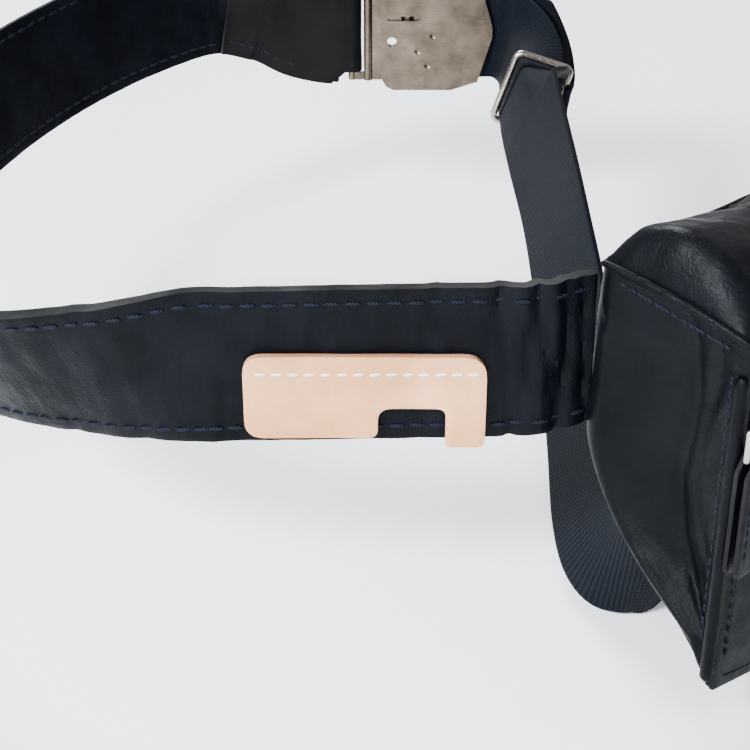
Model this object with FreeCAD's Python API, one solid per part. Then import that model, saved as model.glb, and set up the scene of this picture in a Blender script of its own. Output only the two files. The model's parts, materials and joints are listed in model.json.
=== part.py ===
"""Waist bag: a padded leather hip pouch on a wide leather belt, closed at the back by a pressed
metal lift-lever buckle and a webbing strap with a wire adjuster ring.

Frame, in mm: the origin is the centre of the pouch's flat back, X runs along the pouch from its left
end to its right end, +Y points at the wearer and +Z is up. The wearer stands inside the strap loop.
"""
import FreeCAD
import Part
import math
import os
from FreeCAD import Placement, Rotation, Vector

# ---- driving dimensions -------------------------------------------------------------------
POUCH_LENGTH = 240.0     # along X
POUCH_DEPTH = 46.0       # back to front at the top
BACK_TOP = 24.0          # top seam of the back panel
BACK_LOW = -30.0         # where the back panel ends and the sloping bottom panel begins
FRONT_TOP = 18.0         # top seam of the front
END_LOW = -81.0          # front bottom seam at the pouch's two ends
MID_LOW = -93.6          # front bottom seam in the middle: the surface the bag rests on
DOME = 8.5               # how far the stuffed top rises over its seams
GUSSET_CREASE = 7.0      # how far the end gussets fold inwards
LEATHER = 1.3            # pouch leather thickness
FOAM = 4.0               # foam behind the back panel

BELT_WIDTH = 42.0
BELT_OUTER = 1.6         # outer leather layer
BELT_INNER = 1.4         # inner leather layer
LAYER_GAP = 0.06         # air left between layers so that they never overlap
CHAPE_GAP = 1.1          # between the belt's end and the chape's two legs
WEB_WIDTH = 38.0
WEB_THICK = 1.8

ZIP_Z = -2.0             # height of the zip's centre line
ZIP_OPEN = 12.0          # gap between the front panels at the zip
ZIP_LEFT = -106.0        # first tooth
ZIP_RIGHT = 112.0        # last tooth
TOOTH_PITCH = 3.1
SLIDER_X = -111.0        # slider parked at the left end
PULL_OFFSET = -5.0       # the pull's lug from the slider's middle

TAG_LEFT, TAG_RIGHT = -32.7, 27.6
TAG_TOP, TAG_HINGE = 2.1, -4.5
TAG_THICK = 2.0

TONGUE_THICK = 1.8
WIRE = 2.6               # adjuster ring wire diameter
PIN_RADIUS = 1.2         # lever pin
PIN_BORE = 1.25          # hole in the lever cheeks that runs on it

# the belt, tag, webbing and buckle are laid out in a frame turned 43 degrees about Z:
# its x runs along the belt's front stretch, its y points across the strap loop
SIDE = Placement(Vector(-160.0, 37.3, 0), Rotation(Vector(0, 0, 1), -43))
BUCKLE_AT = Vector(20, 273, -1)
BUCKLE = SIDE.multiply(Placement(BUCKLE_AT, Rotation()))
BELT_LINE = -4.5         # y of the belt's straight stretch, where the tag is sewn
STRAIGHT = (30.0, -35.0)  # x range of that stretch

# strap centre lines: x, y, z, then the direction of the strap's width towards its upper edge
BELT_PATH = [
    (51, .6, -.5, 0, 0, 1), (44, -3, -.8, 0, 0, 1), (37, BELT_LINE, -1, 0, 0, 1),
    (STRAIGHT[0], BELT_LINE, -1, 0, 0, 1), (0, BELT_LINE, -1.5, 0, 0, 1),
    (STRAIGHT[1], BELT_LINE, -2.2, 0, 0, 1), (-44, BELT_LINE, -2.5, 0, 0, 1),
    (-70, -1.5, -6, -.02, -.26, .96), (-106, 13, -11, -.15, -.42, .9), (-138, 48, -16, -.42, -.3, .86),
    (-155, 97, -18, -.45, -.05, .88), (-156, 150, -15, -.42, 0, .9), (-142, 200, -8, -.33, .05, .93),
    (-110, 246, 2, -.2, .1, .96), (-70, 279, 9, -.05, .1, .99), (-46, 282, 6, 0, 0, 1),
    (-32, 278, 1, 0, 0, 1), (-22, 275, -.6, 0, 0, 1), (-14, 273.9, -1, 0, 0, 1)]
WEB_UPPER_PATH = [
    (42.6, 274.3, -1, 0, 0, 1), (46.5, 274.6, -1, 0, 0, 1), (49.8, 273.2, -1.2, .05, 0, 1),
    (52.2, 269, -1.5, .1, 0, 1), (53.6, 262, -1.8, .16, 0, .98), (54, 250, -2, .24, 0, .97),
    (54.3, 240, -2.4, .3, 0, .95), (54.3, 229, -2.8, .32, 0, .947), (54.3, 225.6, -3, .33, 0, .944)]
WEB_LOWER_PATH = [
    (54.4, 223.2, -3.1, .34, 0, .94), (54.7, 213, -4.3, .36, 0, .93), (55.4, 201, -6.9, .37, -.05, .92),
    (56.5, 188, -10, .38, -.12, .9), (59.5, 145, -22, .36, -.3, .88), (61.5, 100, -38, .42, -.36, .82),
    (62, 60, -54, .45, -.36, .82), (61.5, 34, -65, .44, -.38, .81), (62.8, 19, -71.5, .36, -.4, .83),
    (68.5, 10.5, -74.5, .25, -.38, .87), (78, 9.5, -75.5, .1, -.34, .92)]
# the hidden end of the webbing, in the row frame: from the floor up behind the pouch and round to its tab
WEB_TAIL_PATH = [
    (-80, -9, -75, -.05, -.35, .92), (-45, -2, -73.5, 0, -.35, .93), (0, 8, -70, 0, -.35, .93),
    (50, 20, -60, 0, -.3, .95), (100, 32, -40, 0, -.2, .98), (140, 40, -18, 0, -.1, 1),
    (162, 38, -5, 0, 0, 1), (178, 28, -1, 0, 0, 1), (184, 18, 0, 0, 0, 1), (177, 7, 0, 0, 0, 1),
    (166, 2.6, 0, 0, 0, 1), (157, 2.4, 0, 0, 0, 1), (150, 2.4, 0, 0, 0, 1), (138, 2.4, 0, 0, 0, 1),
    (126, 2.4, 0, 0, 0, 1)]
RETURN_PATH = [
    (44, 280, -1, 0, 0, 1), (50, 278.6, -1, 0, 0, 1), (57, 273, -2, .05, 0, 1),
    (65, 262, -4, .15, 0, .98), (71.5, 248, -6, .25, 0, .96), (74.9, 237, -8, .3, 0, .95),
    (75.2, 231.5, -8.4, .32, 0, .947), (74.2, 228, -8.6, .32, 0, .947), (71.8, 226.4, -8.8, .32, 0, .947)]


# ---- helpers ------------------------------------------------------------------------------
def save(name, shape):
    """Write one node's STEP file."""
    shape.exportStep("parts/%s.step" % name)


def box(x0, x1, y0, y1, z0, z1):
    """Axis-aligned box between two corners."""
    return Part.makeBox(x1 - x0, y1 - y0, z1 - z0, Vector(x0, y0, z0))


def placed(shape, placement):
    """A copy of the shape carried into the row frame."""
    moved = shape.copy()
    moved.Placement = placement.multiply(moved.Placement)
    return moved


def polygon(points):
    """Closed wire through a list of Vectors."""
    return Part.makePolygon(list(points) + [points[0]])


def plate(outline, y0, y1):
    """Flat plate from an outline of (x, z) pairs, between two y values."""
    face = Part.Face(polygon([Vector(x, y0, z) for x, z in outline]))
    return face.extrude(Vector(0, y1 - y0, 0))


def rod(radius, start, end):
    """Round bar between two points."""
    along = end - start
    return Part.makeCylinder(radius, along.Length, start, along)


def smooth(rows, spans):
    """Catmull-Rom points through rows of numbers, a given number of steps for each span."""
    first = [2 * a - b for a, b in zip(rows[0], rows[1])]
    last = [2 * a - b for a, b in zip(rows[-1], rows[-2])]
    ends = [first] + [list(r) for r in rows] + [last]
    out = []
    for i in range(1, len(ends) - 2):
        steps = spans if isinstance(spans, int) else spans[i - 1]
        for k in range(steps):
            t = k / steps
            row = []
            for a, b, c, d in zip(ends[i - 1], ends[i], ends[i + 1], ends[i + 2]):
                row.append(0.5 * (2 * b + (c - a) * t + (2 * a - 5 * b + 4 * c - d) * t * t
                                  + (3 * b - a - 3 * c + d) * t ** 3))
            out.append(row)
    out.append(list(rows[-1]))
    return out


def frames(points):
    """Centre, width direction and face normal at each point of a strap's centre line."""
    centres = [Vector(*p[:3]) for p in points]
    out = []
    for i, p in enumerate(points):
        ahead = centres[min(i + 1, len(centres) - 1)]
        behind = centres[max(i - 1, 0)]
        along = (ahead - behind).normalize()
        width = Vector(*p[3:6])
        width = (width - along * width.dot(along)).normalize()
        out.append((centres[i], width, along.cross(width)))
    return out


def ribbon(strips, low, high, near, far):
    """Solid strap: low..high across its width and near..far along its normal, at every frame."""
    wires = []
    for centre, width, normal in strips:
        corners = [(low, near), (high, near), (high, far), (low, far)]
        wires.append(polygon([centre + width * w + normal * n for w, n in corners]))
    return Part.makeLoft(wires, True, True)


def tapered(strips, edges, near, far):
    """As ribbon, with its own (low, high) pair at every frame."""
    wires = []
    for (centre, width, normal), (low, high) in zip(strips, edges):
        corners = [(low, near), (high, near), (high, far), (low, far)]
        wires.append(polygon([centre + width * w + normal * n for w, n in corners]))
    return Part.makeLoft(wires, True, True)


def folded(strips, angles, low, bend, high, thick):
    """Strap whose upper part folds back by an angle at every frame, over the line at bend."""
    wires = []
    for (centre, width, normal), angle in zip(strips, angles):
        a = math.radians(angle)
        flap = width * math.cos(a) - normal * math.sin(a)
        side = normal * math.cos(a) + width * math.sin(a)
        corner = centre + width * bend
        mitre = (normal + side) * (thick / 2 / (1 + math.cos(a)))
        root = centre + width * low
        tip = corner + flap * (high - bend)
        wires.append(polygon([root + normal * (thick / 2), corner + mitre, tip + side * (thick / 2),
                              tip - side * (thick / 2), corner - mitre, root - normal * (thick / 2)]))
    return Part.makeLoft(wires, True, True)


def compound(solids):
    """Several loose solids as one node."""
    return Part.makeCompound(list(solids))


# ---- pouch shell --------------------------------------------------------------------------
SECTIONS = (-1, -.97, -.93, -.88, -.8, -.6, -.3, 0, .3, .6, .8, .88, .93, .97, 1)
TOP_SHAPE = ((0, 0), (.09, .5), (.24, .84), (.45, 1), (.68, .84), (.88, .42), (1, 0))


def low_seam(share):
    """Height of the front bottom seam at a share of the half length: lowest in the middle."""
    return MID_LOW + (END_LOW - MID_LOW) * share * share


def puff(share):
    """How full the top is at a share of the half length: closed down at the very ends."""
    inward = (1 - abs(share)) / .1
    return 1.0 if inward >= 1 else math.sin(inward * math.pi / 2) ** .8


def profile_normal(line, i):
    """Mitred inward offset direction of a (y, z) line at point i."""
    normals = []
    for j in (i - 1, i):
        if 0 <= j < len(line) - 1:
            dy = line[j + 1][0] - line[j][0]
            dz = line[j + 1][1] - line[j][1]
            length = math.hypot(dy, dz)
            normals.append((dz / length, -dy / length))
    ny = sum(n[0] for n in normals) / len(normals)
    nz = sum(n[1] for n in normals) / len(normals)
    size = ny * ny + nz * nz
    return ny / size, nz / size


def panel(line_at, thick=LEATHER, lift=0.0, shares=SECTIONS):
    """Leather panel lofted along X; line_at(share) is its outer line, inside to its right."""
    wires = []
    for share in shares:
        x = share * POUCH_LENGTH / 2
        line = line_at(share)
        outer, inner = [], []
        for i, (y, z) in enumerate(line):
            ny, nz = profile_normal(line, i)
            outer.append(Vector(x, y + ny * lift, z + nz * lift))
            inner.append(Vector(x, min(0, y + ny * (lift + thick)), z + nz * (lift + thick)))
        wires.append(polygon(outer + inner[::-1]))
    return Part.makeLoft(wires, True, True)


def top_line(share):
    """Stuffed top, from the back seam to the front seam."""
    line = []
    for along, height in TOP_SHAPE:
        seam = BACK_TOP + (FRONT_TOP - BACK_TOP) * along
        line.append((-POUCH_DEPTH * along, seam + .1 + DOME * height * puff(share)))
    return line[::-1]


def front_upper_line(share):
    """Front panel above the zip."""
    return [(-POUCH_DEPTH, ZIP_Z + ZIP_OPEN / 2), (-POUCH_DEPTH, FRONT_TOP - 1.5)]


def front_lower_line(share):
    """Front panel below the zip, down to the bottom seam."""
    return [(-POUCH_DEPTH, low_seam(share)), (-POUCH_DEPTH, ZIP_Z - ZIP_OPEN / 2)]


def bottom_line(share):
    """Sloping panel from the back's lower edge to the front bottom seam."""
    return [(0, BACK_LOW - 1.3), (-POUCH_DEPTH + 2 * LEATHER, low_seam(share) + 1)]


def back_panel():
    """Flat leather back, the face that lies against the wearer."""
    half = POUCH_LENGTH / 2
    return box(-half, half, -LEATHER, 0, BACK_LOW, BACK_TOP - LEATHER - .1)


def back_foam():
    """Foam cushion behind the back panel."""
    half = POUCH_LENGTH / 2 - 10
    return box(-half, half, -LEATHER - .2 - FOAM, -LEATHER - .2, BACK_LOW + 4, BACK_TOP - 5)


def lining():
    """Fabric bag inside the pouch: a thin closed tube."""
    half = POUCH_LENGTH / 2 - 12
    outer = [(-7, 18), (-7, -30), (-40.5, -70), (-40.5, 15), (-24, 26)]
    inner = [(-7.5, 17.7), (-7.5, -29.8), (-40, -68.7), (-40, 14.8), (-24, 25.3)]
    tube = Part.Face(polygon([Vector(-half, y, z) for y, z in outer]))
    hole = Part.Face(polygon([Vector(-half, y, z) for y, z in inner]))
    return tube.extrude(Vector(2 * half, 0, 0)).cut(hole.extrude(Vector(2 * half, 0, 0)))


def gusset(side):
    """End panel with a fold in its middle; side is -1 for the left end, 1 for the right."""
    x = side * (POUCH_LENGTH / 2 - .2)
    inset = LEATHER + .3
    backs = [(-inset, 22), (-inset, 0), (-inset, -29), (-22, -51.5), (-43, -72)]
    fronts = [(-44.3, 16.2), (-44.3, -8), (-44.3, -34), (-44.3, -56), (-44.3, -74)]
    folds = [.75, 1, .9, .45, .05]
    wires = []
    for (yb, zb), (yf, zf), fold in zip(backs, fronts, folds):
        deep = x - side * GUSSET_CREASE * fold
        back = Vector(x, yb, zb)
        middle = Vector(deep, (yb + yf) / 2, (zb + zf) / 2)
        front = Vector(x, yf, zf)
        inward = Vector(-side * LEATHER, 0, 0)
        wires.append(polygon([back, middle, front, front + inward, middle + inward, back + inward]))
    return Part.makeLoft(wires, True, True)


def front_welt(side):
    """Raised leather strip along the front end seam."""
    x = side * (POUCH_LENGTH / 2 + .2)
    return box(min(x, x + side * 2), max(x, x + side * 2), -POUCH_DEPTH + .2, -POUCH_DEPTH + 4.7,
               END_LOW + 2, FRONT_TOP - 1)


def pouch_thread():
    """Raised stitch lines: down both ends of the front and along both sides of the zip."""
    y0, y1 = -POUCH_DEPTH - .35, -POUCH_DEPTH - .05
    half = POUCH_LENGTH / 2
    lines = []
    for side in (-1, 1):
        x = side * (half - 3)
        lines.append(box(x - .35, x + .35, y0, y1, END_LOW + 3, ZIP_Z - ZIP_OPEN / 2 - 4))
        lines.append(box(x - .35, x + .35, y0, y1, ZIP_Z + ZIP_OPEN / 2 + 4, FRONT_TOP - 2))
    for z in (ZIP_Z - ZIP_OPEN / 2 - 2, ZIP_Z + ZIP_OPEN / 2 + 2):
        lines.append(box(-half + 6, half - 6, y0, y1, z - .35, z + .35))
    return compound(lines)


# ---- zip ----------------------------------------------------------------------------------
def zip_tape(side):
    """Fabric tape of one half of the zip; side is 1 above the teeth and -1 below them."""
    near, far = ZIP_Z + side * 2.2, ZIP_Z + side * 15
    half = POUCH_LENGTH / 2 - 4
    return box(-half, half, -44.4, -43.9, min(near, far), max(near, far))


def zip_teeth(side):
    """One row of teeth; the two rows leave a 1 mm slot for the slider's neck."""
    count = int((ZIP_RIGHT - ZIP_LEFT) / TOOTH_PITCH)
    near, far = ZIP_Z + side * .5, ZIP_Z + side * 2.1
    shift = 0 if side > 0 else TOOTH_PITCH / 2
    teeth = []
    for i in range(count):
        x = ZIP_LEFT + shift + i * TOOTH_PITCH
        teeth.append(box(x, x + 1.6, -45.2, -43.2, min(near, far), max(near, far)))
    return compound(teeth)


def zip_slider():
    """Slider: front and back plates round the teeth, a thin neck between them, and a pull lug."""
    left, right = SLIDER_X - 6, SLIDER_X + 6
    low, high = ZIP_Z - 4.6, ZIP_Z + 4.6
    body = box(left, right, -46.8, -45.6, low, high)
    body = body.fuse(box(left, right, -42.8, -41.6, low, high))
    for z0, z1 in ((low, low + .8), (high - .8, high)):
        body = body.fuse(box(left, right, -45.7, -44.8, z0, z1))
        body = body.fuse(box(left, right, -43.5, -42.7, z0, z1))
    body = body.fuse(box(left + .5, left + 3.5, -45.7, -42.7, ZIP_Z - .3, ZIP_Z + .3))
    eye_x = SLIDER_X + PULL_OFFSET
    lug = box(eye_x - .8, eye_x + .8, -50.8, -46.7, ZIP_Z - 2.2, ZIP_Z + 2.2)
    eye = rod(1.0, Vector(eye_x - 2, -49, ZIP_Z), Vector(eye_x + 2, -49, ZIP_Z))
    return body.fuse(lug).cut(eye).removeSplitter()


def pull_link():
    """Rectangular wire link: its top bar runs in the slider's eye."""
    x0, x1 = SLIDER_X + PULL_OFFSET - 6.5, SLIDER_X + PULL_OFFSET + 6.5
    top, low, y, r = ZIP_Z, ZIP_Z - 7.5, -49, .8
    corners = [Vector(x0, y, top), Vector(x1, y, top), Vector(x1, y, low), Vector(x0, y, low)]
    link = Part.makeSphere(r, corners[0])
    for i, corner in enumerate(corners):
        link = link.fuse(rod(r, corner, corners[(i + 1) % 4]))
        link = link.fuse(Part.makeSphere(r, corners[(i + 1) % 4]))
    return link.removeSplitter()


def leather_pull():
    """Folded leather strip hanging on the link."""
    x = SLIDER_X + PULL_OFFSET
    z, y = ZIP_Z - 7.5, -49
    outline = [(-5, 2.2), (5, 2.2), (5, -1.6), (8, -4), (8, -30), (6, -33),
               (-6, -33), (-8, -30), (-8, -4), (-5, -1.6)]
    strip = plate([(x + a, z + b) for a, b in outline], y - 2.2, y + 2.2)
    slot = rod(1.0, Vector(x - 9, y, z), Vector(x + 9, y, z))
    return strip.cut(slot)


def zip_stop():
    """Small metal stop clamped across both tapes at the zip's right end."""
    return box(ZIP_RIGHT + .6, ZIP_RIGHT + 2.6, -45.4, -44.5, ZIP_Z - 2.1, ZIP_Z + 2.1)


# ---- belt ---------------------------------------------------------------------------------
BELT_SPANS = [2, 2, 2, 4, 4, 2, 3, 5, 5, 6, 6, 6, 6, 5, 3, 2, 2, 1]


def belt_frames():
    return frames(smooth(BELT_PATH, BELT_SPANS))


def belt_layers():
    """Outer and inner leather layers of the belt."""
    strips = belt_frames()
    half = BELT_WIDTH / 2
    total = BELT_OUTER + LAYER_GAP + BELT_INNER
    outer = ribbon(strips, -half, half, -total / 2, -total / 2 + BELT_OUTER)
    inner = ribbon(strips, -half, half, total / 2 - BELT_INNER, total / 2)
    return placed(outer, SIDE), placed(inner, SIDE)


def belt_thread():
    """Two stitch lines on the belt's outer face, clear of the tag and of the chape."""
    total = BELT_OUTER + LAYER_GAP + BELT_INNER
    strips = belt_frames()[:-9]
    lines = []
    for w in (-BELT_WIDTH / 2 + 3.8, BELT_WIDTH / 2 - 3.8):
        runs = [strips] if w > 0 else [strips[:6], strips[15:]]
        for run in runs:
            lines.append(ribbon(run, w - .4, w + .4, -total / 2 - .4, -total / 2 - .05))
    return placed(compound(lines), SIDE)


def tag_outline_flap():
    """Lower part of the tag: a wide left part, an open notch and a longer right leg."""
    low, leg, notch_l, notch_r, notch_top = -20.8, -23.6, 0.7, 17.7, -12.4
    return [(TAG_LEFT, TAG_HINGE - .08), (TAG_LEFT, low + 4), (TAG_LEFT + 4, low), (notch_l - 1.5, low),
            (notch_l, low + 1.5), (notch_l, notch_top - 3), (notch_l + 3, notch_top),
            (notch_r - 3, notch_top), (notch_r, notch_top - 3), (notch_r, leg + 1.5),
            (notch_r + 1.5, leg), (TAG_RIGHT - 2, leg), (TAG_RIGHT, leg + 2),
            (TAG_RIGHT, TAG_HINGE - .08)]


def tag_parts():
    """Leather tag on the belt: the sewn upper edge, its stitches and the loose lower flap."""
    total = BELT_OUTER + LAYER_GAP + BELT_INNER
    back = BELT_LINE - total / 2 - .15
    front = back - TAG_THICK
    edge = [(TAG_LEFT, TAG_HINGE + .08), (TAG_LEFT, TAG_TOP - 4), (TAG_LEFT + 4, TAG_TOP),
            (TAG_RIGHT - 4, TAG_TOP), (TAG_RIGHT, TAG_TOP - 4), (TAG_RIGHT, TAG_HINGE + .08)]
    stitches = []
    for i in range(14):
        x = TAG_LEFT + 3 + i * 4.06
        stitches.append(box(x, x + 3.1, front - .4, front - .05, -3.1, -2.4))
    return (placed(plate(edge, front, back), SIDE), placed(compound(stitches), SIDE),
            placed(plate(tag_outline_flap(), front, back), SIDE))


def chape():
    """Leather loop folded round the tongue's bar, over both faces of the belt's end."""
    strips = belt_frames()[-8:]
    reach = (BELT_OUTER + LAYER_GAP + BELT_INNER) / 2 + CHAPE_GAP + .7
    bar = Vector(-9.3, 273.9, -1)
    path = [(c + n * reach, w) for c, w, n in strips]
    for angle in (-80, -50, -20, 10, 40, 70, 90):
        a = math.radians(angle)
        path.append((bar + Vector(math.cos(a), math.sin(a), 0) * reach, Vector(0, 0, 1)))
    path += [(c - n * reach, w) for c, w, n in strips[::-1]]
    loop = frames([tuple(c) + tuple(w) for c, w in path])
    half = BELT_WIDTH / 2
    edges = []
    for centre, width, normal in loop:
        taper = min(1, max(0, (centre.x + 17) / 5))
        edges.append((-half + 5 * taper, half - 5 * taper))
    return placed(tapered(loop, edges, -.7, .7), SIDE)


def chape_thread():
    """Stitch rows through the chape, raised on both of its faces."""
    strips = belt_frames()[-8:-3]
    reach = (BELT_OUTER + LAYER_GAP + BELT_INNER) / 2 + CHAPE_GAP + 1.4 + .15
    lines = []
    for w in (-15.5, 15.5):
        lines.append(ribbon(strips, w - .4, w + .4, reach, reach + .35))
        lines.append(ribbon(strips, w - .4, w + .4, -reach - .35, -reach))
    return placed(compound(lines), SIDE)


# ---- buckle (all in the buckle's own frame) -------------------------------------------------
def mirrored(outline):
    """Outline given for its lower half only, closed by its mirror image in z."""
    return outline + [(x, -z) for x, z in outline[::-1]]


def tongue_plate():
    """Flat tongue with a latch window, a rolled left edge and a bar for the chape."""
    body = plate(mirrored([(-23.5, -20), (-17.5, -20), (-14.5, -17.5), (4, -17.5), (7, -14)]),
                 0, TONGUE_THICK)
    body = body.fuse(rod(1.7, Vector(-22.8, .2, -20), Vector(-22.8, .2, 20)))
    body = body.fuse(rod(1.5, Vector(-29.3, .9, -20), Vector(-29.3, .9, 20)))
    for z in (-20, 17):
        body = body.fuse(box(-29.3, -22, 0, TONGUE_THICK, z, z + 3))
    window = box(-9.5, -4.4, -1, 3, -9, 9)
    hole = rod(2.0, Vector(-13.2, -3, -4), Vector(-13.2, 4, -4))
    return placed(body.cut(window).cut(hole).removeSplitter(), BUCKLE)


def buckle_base():
    """Pressed base plate with side walls, a round hole, a slot and three round dents."""
    outline = mirrored([(-17.5, -19), (-15.5, -22.5), (-12.5, -24), (10.8, -24), (21.5, -20.5), (27, -2)])
    base = plate(outline, -1.6, -.4)
    for side in (-1, 1):
        wall = [(-9, 24), (10.8, 24), (21.5, 20.5), (21.1, 19.3), (10.6, 22.8), (-9, 22.8)]
        base = base.fuse(plate([(x, side * z) for x, z in wall], -.5, 8.6))
    base = base.cut(rod(2.0, Vector(-13.2, -3, -4), Vector(-13.2, 1, -4)))
    base = base.cut(box(-14.2, -3, -3, 1, 4.6, 6.6))
    for x in (-14.2, -3):
        base = base.cut(rod(1.0, Vector(x, -3, 5.6), Vector(x, 1, 5.6)))
    for x, z in ((3.2, -1.3), (-2.8, -7.6), (1.2, -13.5)):
        base = base.cut(Part.makeSphere(2.0, Vector(x, -1.6 - 1.45, z)))
    for z in (-23.4, 23.4):
        base = base.cut(rod(PIN_RADIUS + .02, Vector(8, 5.8, z - 1), Vector(8, 5.8, z + 1)))
    return placed(base.removeSplitter(), BUCKLE)


def lever_pin():
    """Pin the release lever turns on, held in the base's side walls."""
    return placed(rod(PIN_RADIUS, Vector(8, 5.8, -23.9), Vector(8, 5.8, 23.9)), BUCKLE)


def release_lever():
    """Lever: cover plate with a finger edge, two cheeks on the pin and the latch pawl."""
    top = plate(mirrored([(-9, -20), (-10.5, -17), (-10.5, -8)]), 9, 10.4)
    top = top.fuse(box(-9, 8.6, 9, 10.4, -20, 20))
    top = top.fuse(rod(1.1, Vector(-10, 9.9, -14), Vector(-10, 9.9, 14)))
    for z in (-20, 18.6):
        cheek = rod(2.6, Vector(8, 5.8, z), Vector(8, 5.8, z + 1.4))
        cheek = cheek.fuse(box(5.4, 8.6, 6.2, 9.2, z, z + 1.4))
        top = top.fuse(cheek)
    top = top.fuse(box(-7.8, -6.2, .9, 9.2, -7.5, 7.5))
    bore = rod(PIN_BORE, Vector(8, 5.8, -24), Vector(8, 5.8, 24))
    return placed(top.cut(bore).removeSplitter(), BUCKLE)


def lever_spring():
    """Torsion spring round the pin that closes the lever."""
    radius, wire, pitch, turns = 2.0, .3, .9, 9
    helix = Part.makeHelix(pitch, pitch * turns, radius)
    start = Part.Wire(Part.makeCircle(wire, Vector(radius, 0, 0), Vector(0, 1, 0)))
    coil = Part.Wire(helix).makePipeShell([start], True, True)
    coil.translate(Vector(8, 5.8, -pitch * turns / 2))
    return placed(coil, BUCKLE)


def webbing_bar():
    """Round bar that holds the webbing between the base's side walls."""
    return placed(rod(1.8, Vector(18.6, 4.2, -19.5), Vector(18.6, 4.2, 19.5)), BUCKLE)


# ---- webbing ------------------------------------------------------------------------------
def webbing_upper():
    """Webbing from the adjuster ring round the buckle's bar, folded where the ring gathers it."""
    bar = BUCKLE_AT + Vector(18.6, 4.2, 0)
    turn = []
    for angle in (100, 130, 160, 190, 220, 250):
        a = math.radians(angle)
        turn.append(tuple(bar + Vector(math.cos(a), math.sin(a), 0) * 2.95) + (0, 0, 1))
    return_rows = [tuple(r) for r in RETURN_PATH[::-1]]
    rows = smooth(return_rows, 2)[:-1] + turn + smooth(WEB_UPPER_PATH, 2)
    strips = frames(rows)
    half = WEB_WIDTH / 2
    angles, spans = [], []
    back = len(smooth(return_rows, 2)) - 1
    front = back + len(turn)
    for i, (centre, width, normal) in enumerate(strips):
        near_ring = min(1, max(0, (262 - centre.y) / 30))
        angles.append(88 * near_ring if i >= front else 0)
        spans.append((-half, half - 19.5 * near_ring if i < back else half))
    rear = tapered(strips[:front + 1], spans[:front + 1], -WEB_THICK / 2, WEB_THICK / 2)
    nose = folded(strips[front:], angles[front:], -half, 3, half, WEB_THICK)
    return placed(rear.fuse(nose).removeSplitter(), SIDE)


def webbing_lower():
    """Webbing from below the adjuster ring to the floor, behind the pouch and up to the right tab."""
    inverse = SIDE.inverse()
    tail = []
    for row in WEB_TAIL_PATH:
        spot = inverse.multVec(Vector(*row[:3]))
        turned = inverse.Rotation.multVec(Vector(*row[3:6]))
        tail.append(tuple(spot) + tuple(turned))
    spans = [3, 3, 3, 5, 5, 4, 4, 3, 3, 3, 4] + [4] * 5 + [3, 3, 3, 3, 3, 2, 1, 1, 1]
    rows = smooth(WEB_LOWER_PATH + tail, spans)
    strips = frames(rows)
    half = WEB_WIDTH / 2
    angles = [max(0, min(80, (centre.y - 196) / 26 * 80)) for centre, width, normal in strips]
    return placed(folded(strips, angles, -half, 3, half, WEB_THICK), SIDE)


def adjuster_ring():
    """Rectangular wire ring round the folded webbing."""
    w0, w1, n0, n1, r = -21.1, 6.8, -18.7, 2.9, 2.6
    q = r * (1 - math.sqrt(.5))
    corners = [((w0, n0 + r), (w0 + q, n0 + q), (w0 + r, n0)), ((w1 - r, n0), (w1 - q, n0 + q), (w1, n0 + r)),
               ((w1, n1 - r), (w1 - q, n1 - q), (w1 - r, n1)), ((w0 + r, n1), (w0 + q, n1 - q), (w0, n1 - r))]
    edges = []
    for i, (a, b, c) in enumerate(corners):
        edges.append(Part.Arc(Vector(*a, 0), Vector(*b, 0), Vector(*c, 0)).toShape())
        edges.append(Part.makeLine(Vector(*c, 0), Vector(*corners[(i + 1) % 4][0], 0)))
    path = Part.Wire(edges)
    start = Vector(*corners[0][0], 0)
    section = Part.Wire(Part.makeCircle(WIRE / 2, start, Vector(0, 1, 0)))
    ring = path.makePipeShell([section], True, True)
    strips = frames(WEB_UPPER_PATH)
    centre, width, normal = strips[-2]
    along = width.cross(normal)
    m = FreeCAD.Matrix(width.x, normal.x, along.x, centre.x, width.y, normal.y, along.y, centre.y,
                       width.z, normal.z, along.z, centre.z, 0, 0, 0, 1)
    return placed(placed(ring, Placement(m)), SIDE)


def right_tab():
    """Two leather wings sewn over the end of the webbing at the pouch's right end."""
    outline = [(121.6, -20), (121.6, 20), (150, 19.5), (155, 15), (155, -15), (150, -19.5)]
    outer = plate(outline, -.2, 1.2)
    inner = plate(outline, 3.6, 5.0)
    return outer, inner


def tab_thread():
    """Crossed box stitch on both faces of the right tab."""
    lines = []
    for y0, y1 in ((-.6, -.25), (5.05, 5.4)):
        lines.append(box(126, 150, y0, y1, 14.6, 15.4))
        lines.append(box(126, 150, y0, y1, -15.4, -14.6))
        lines.append(box(126, 126.8, y0, y1, -14.5, 14.5))
        lines.append(box(149.2, 150, y0, y1, -14.5, 14.5))
        lines.append(plate([(127, -14.4), (128, -14.4), (149, 14.4), (148, 14.4)], y0, y1))
    return compound(lines)


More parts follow.
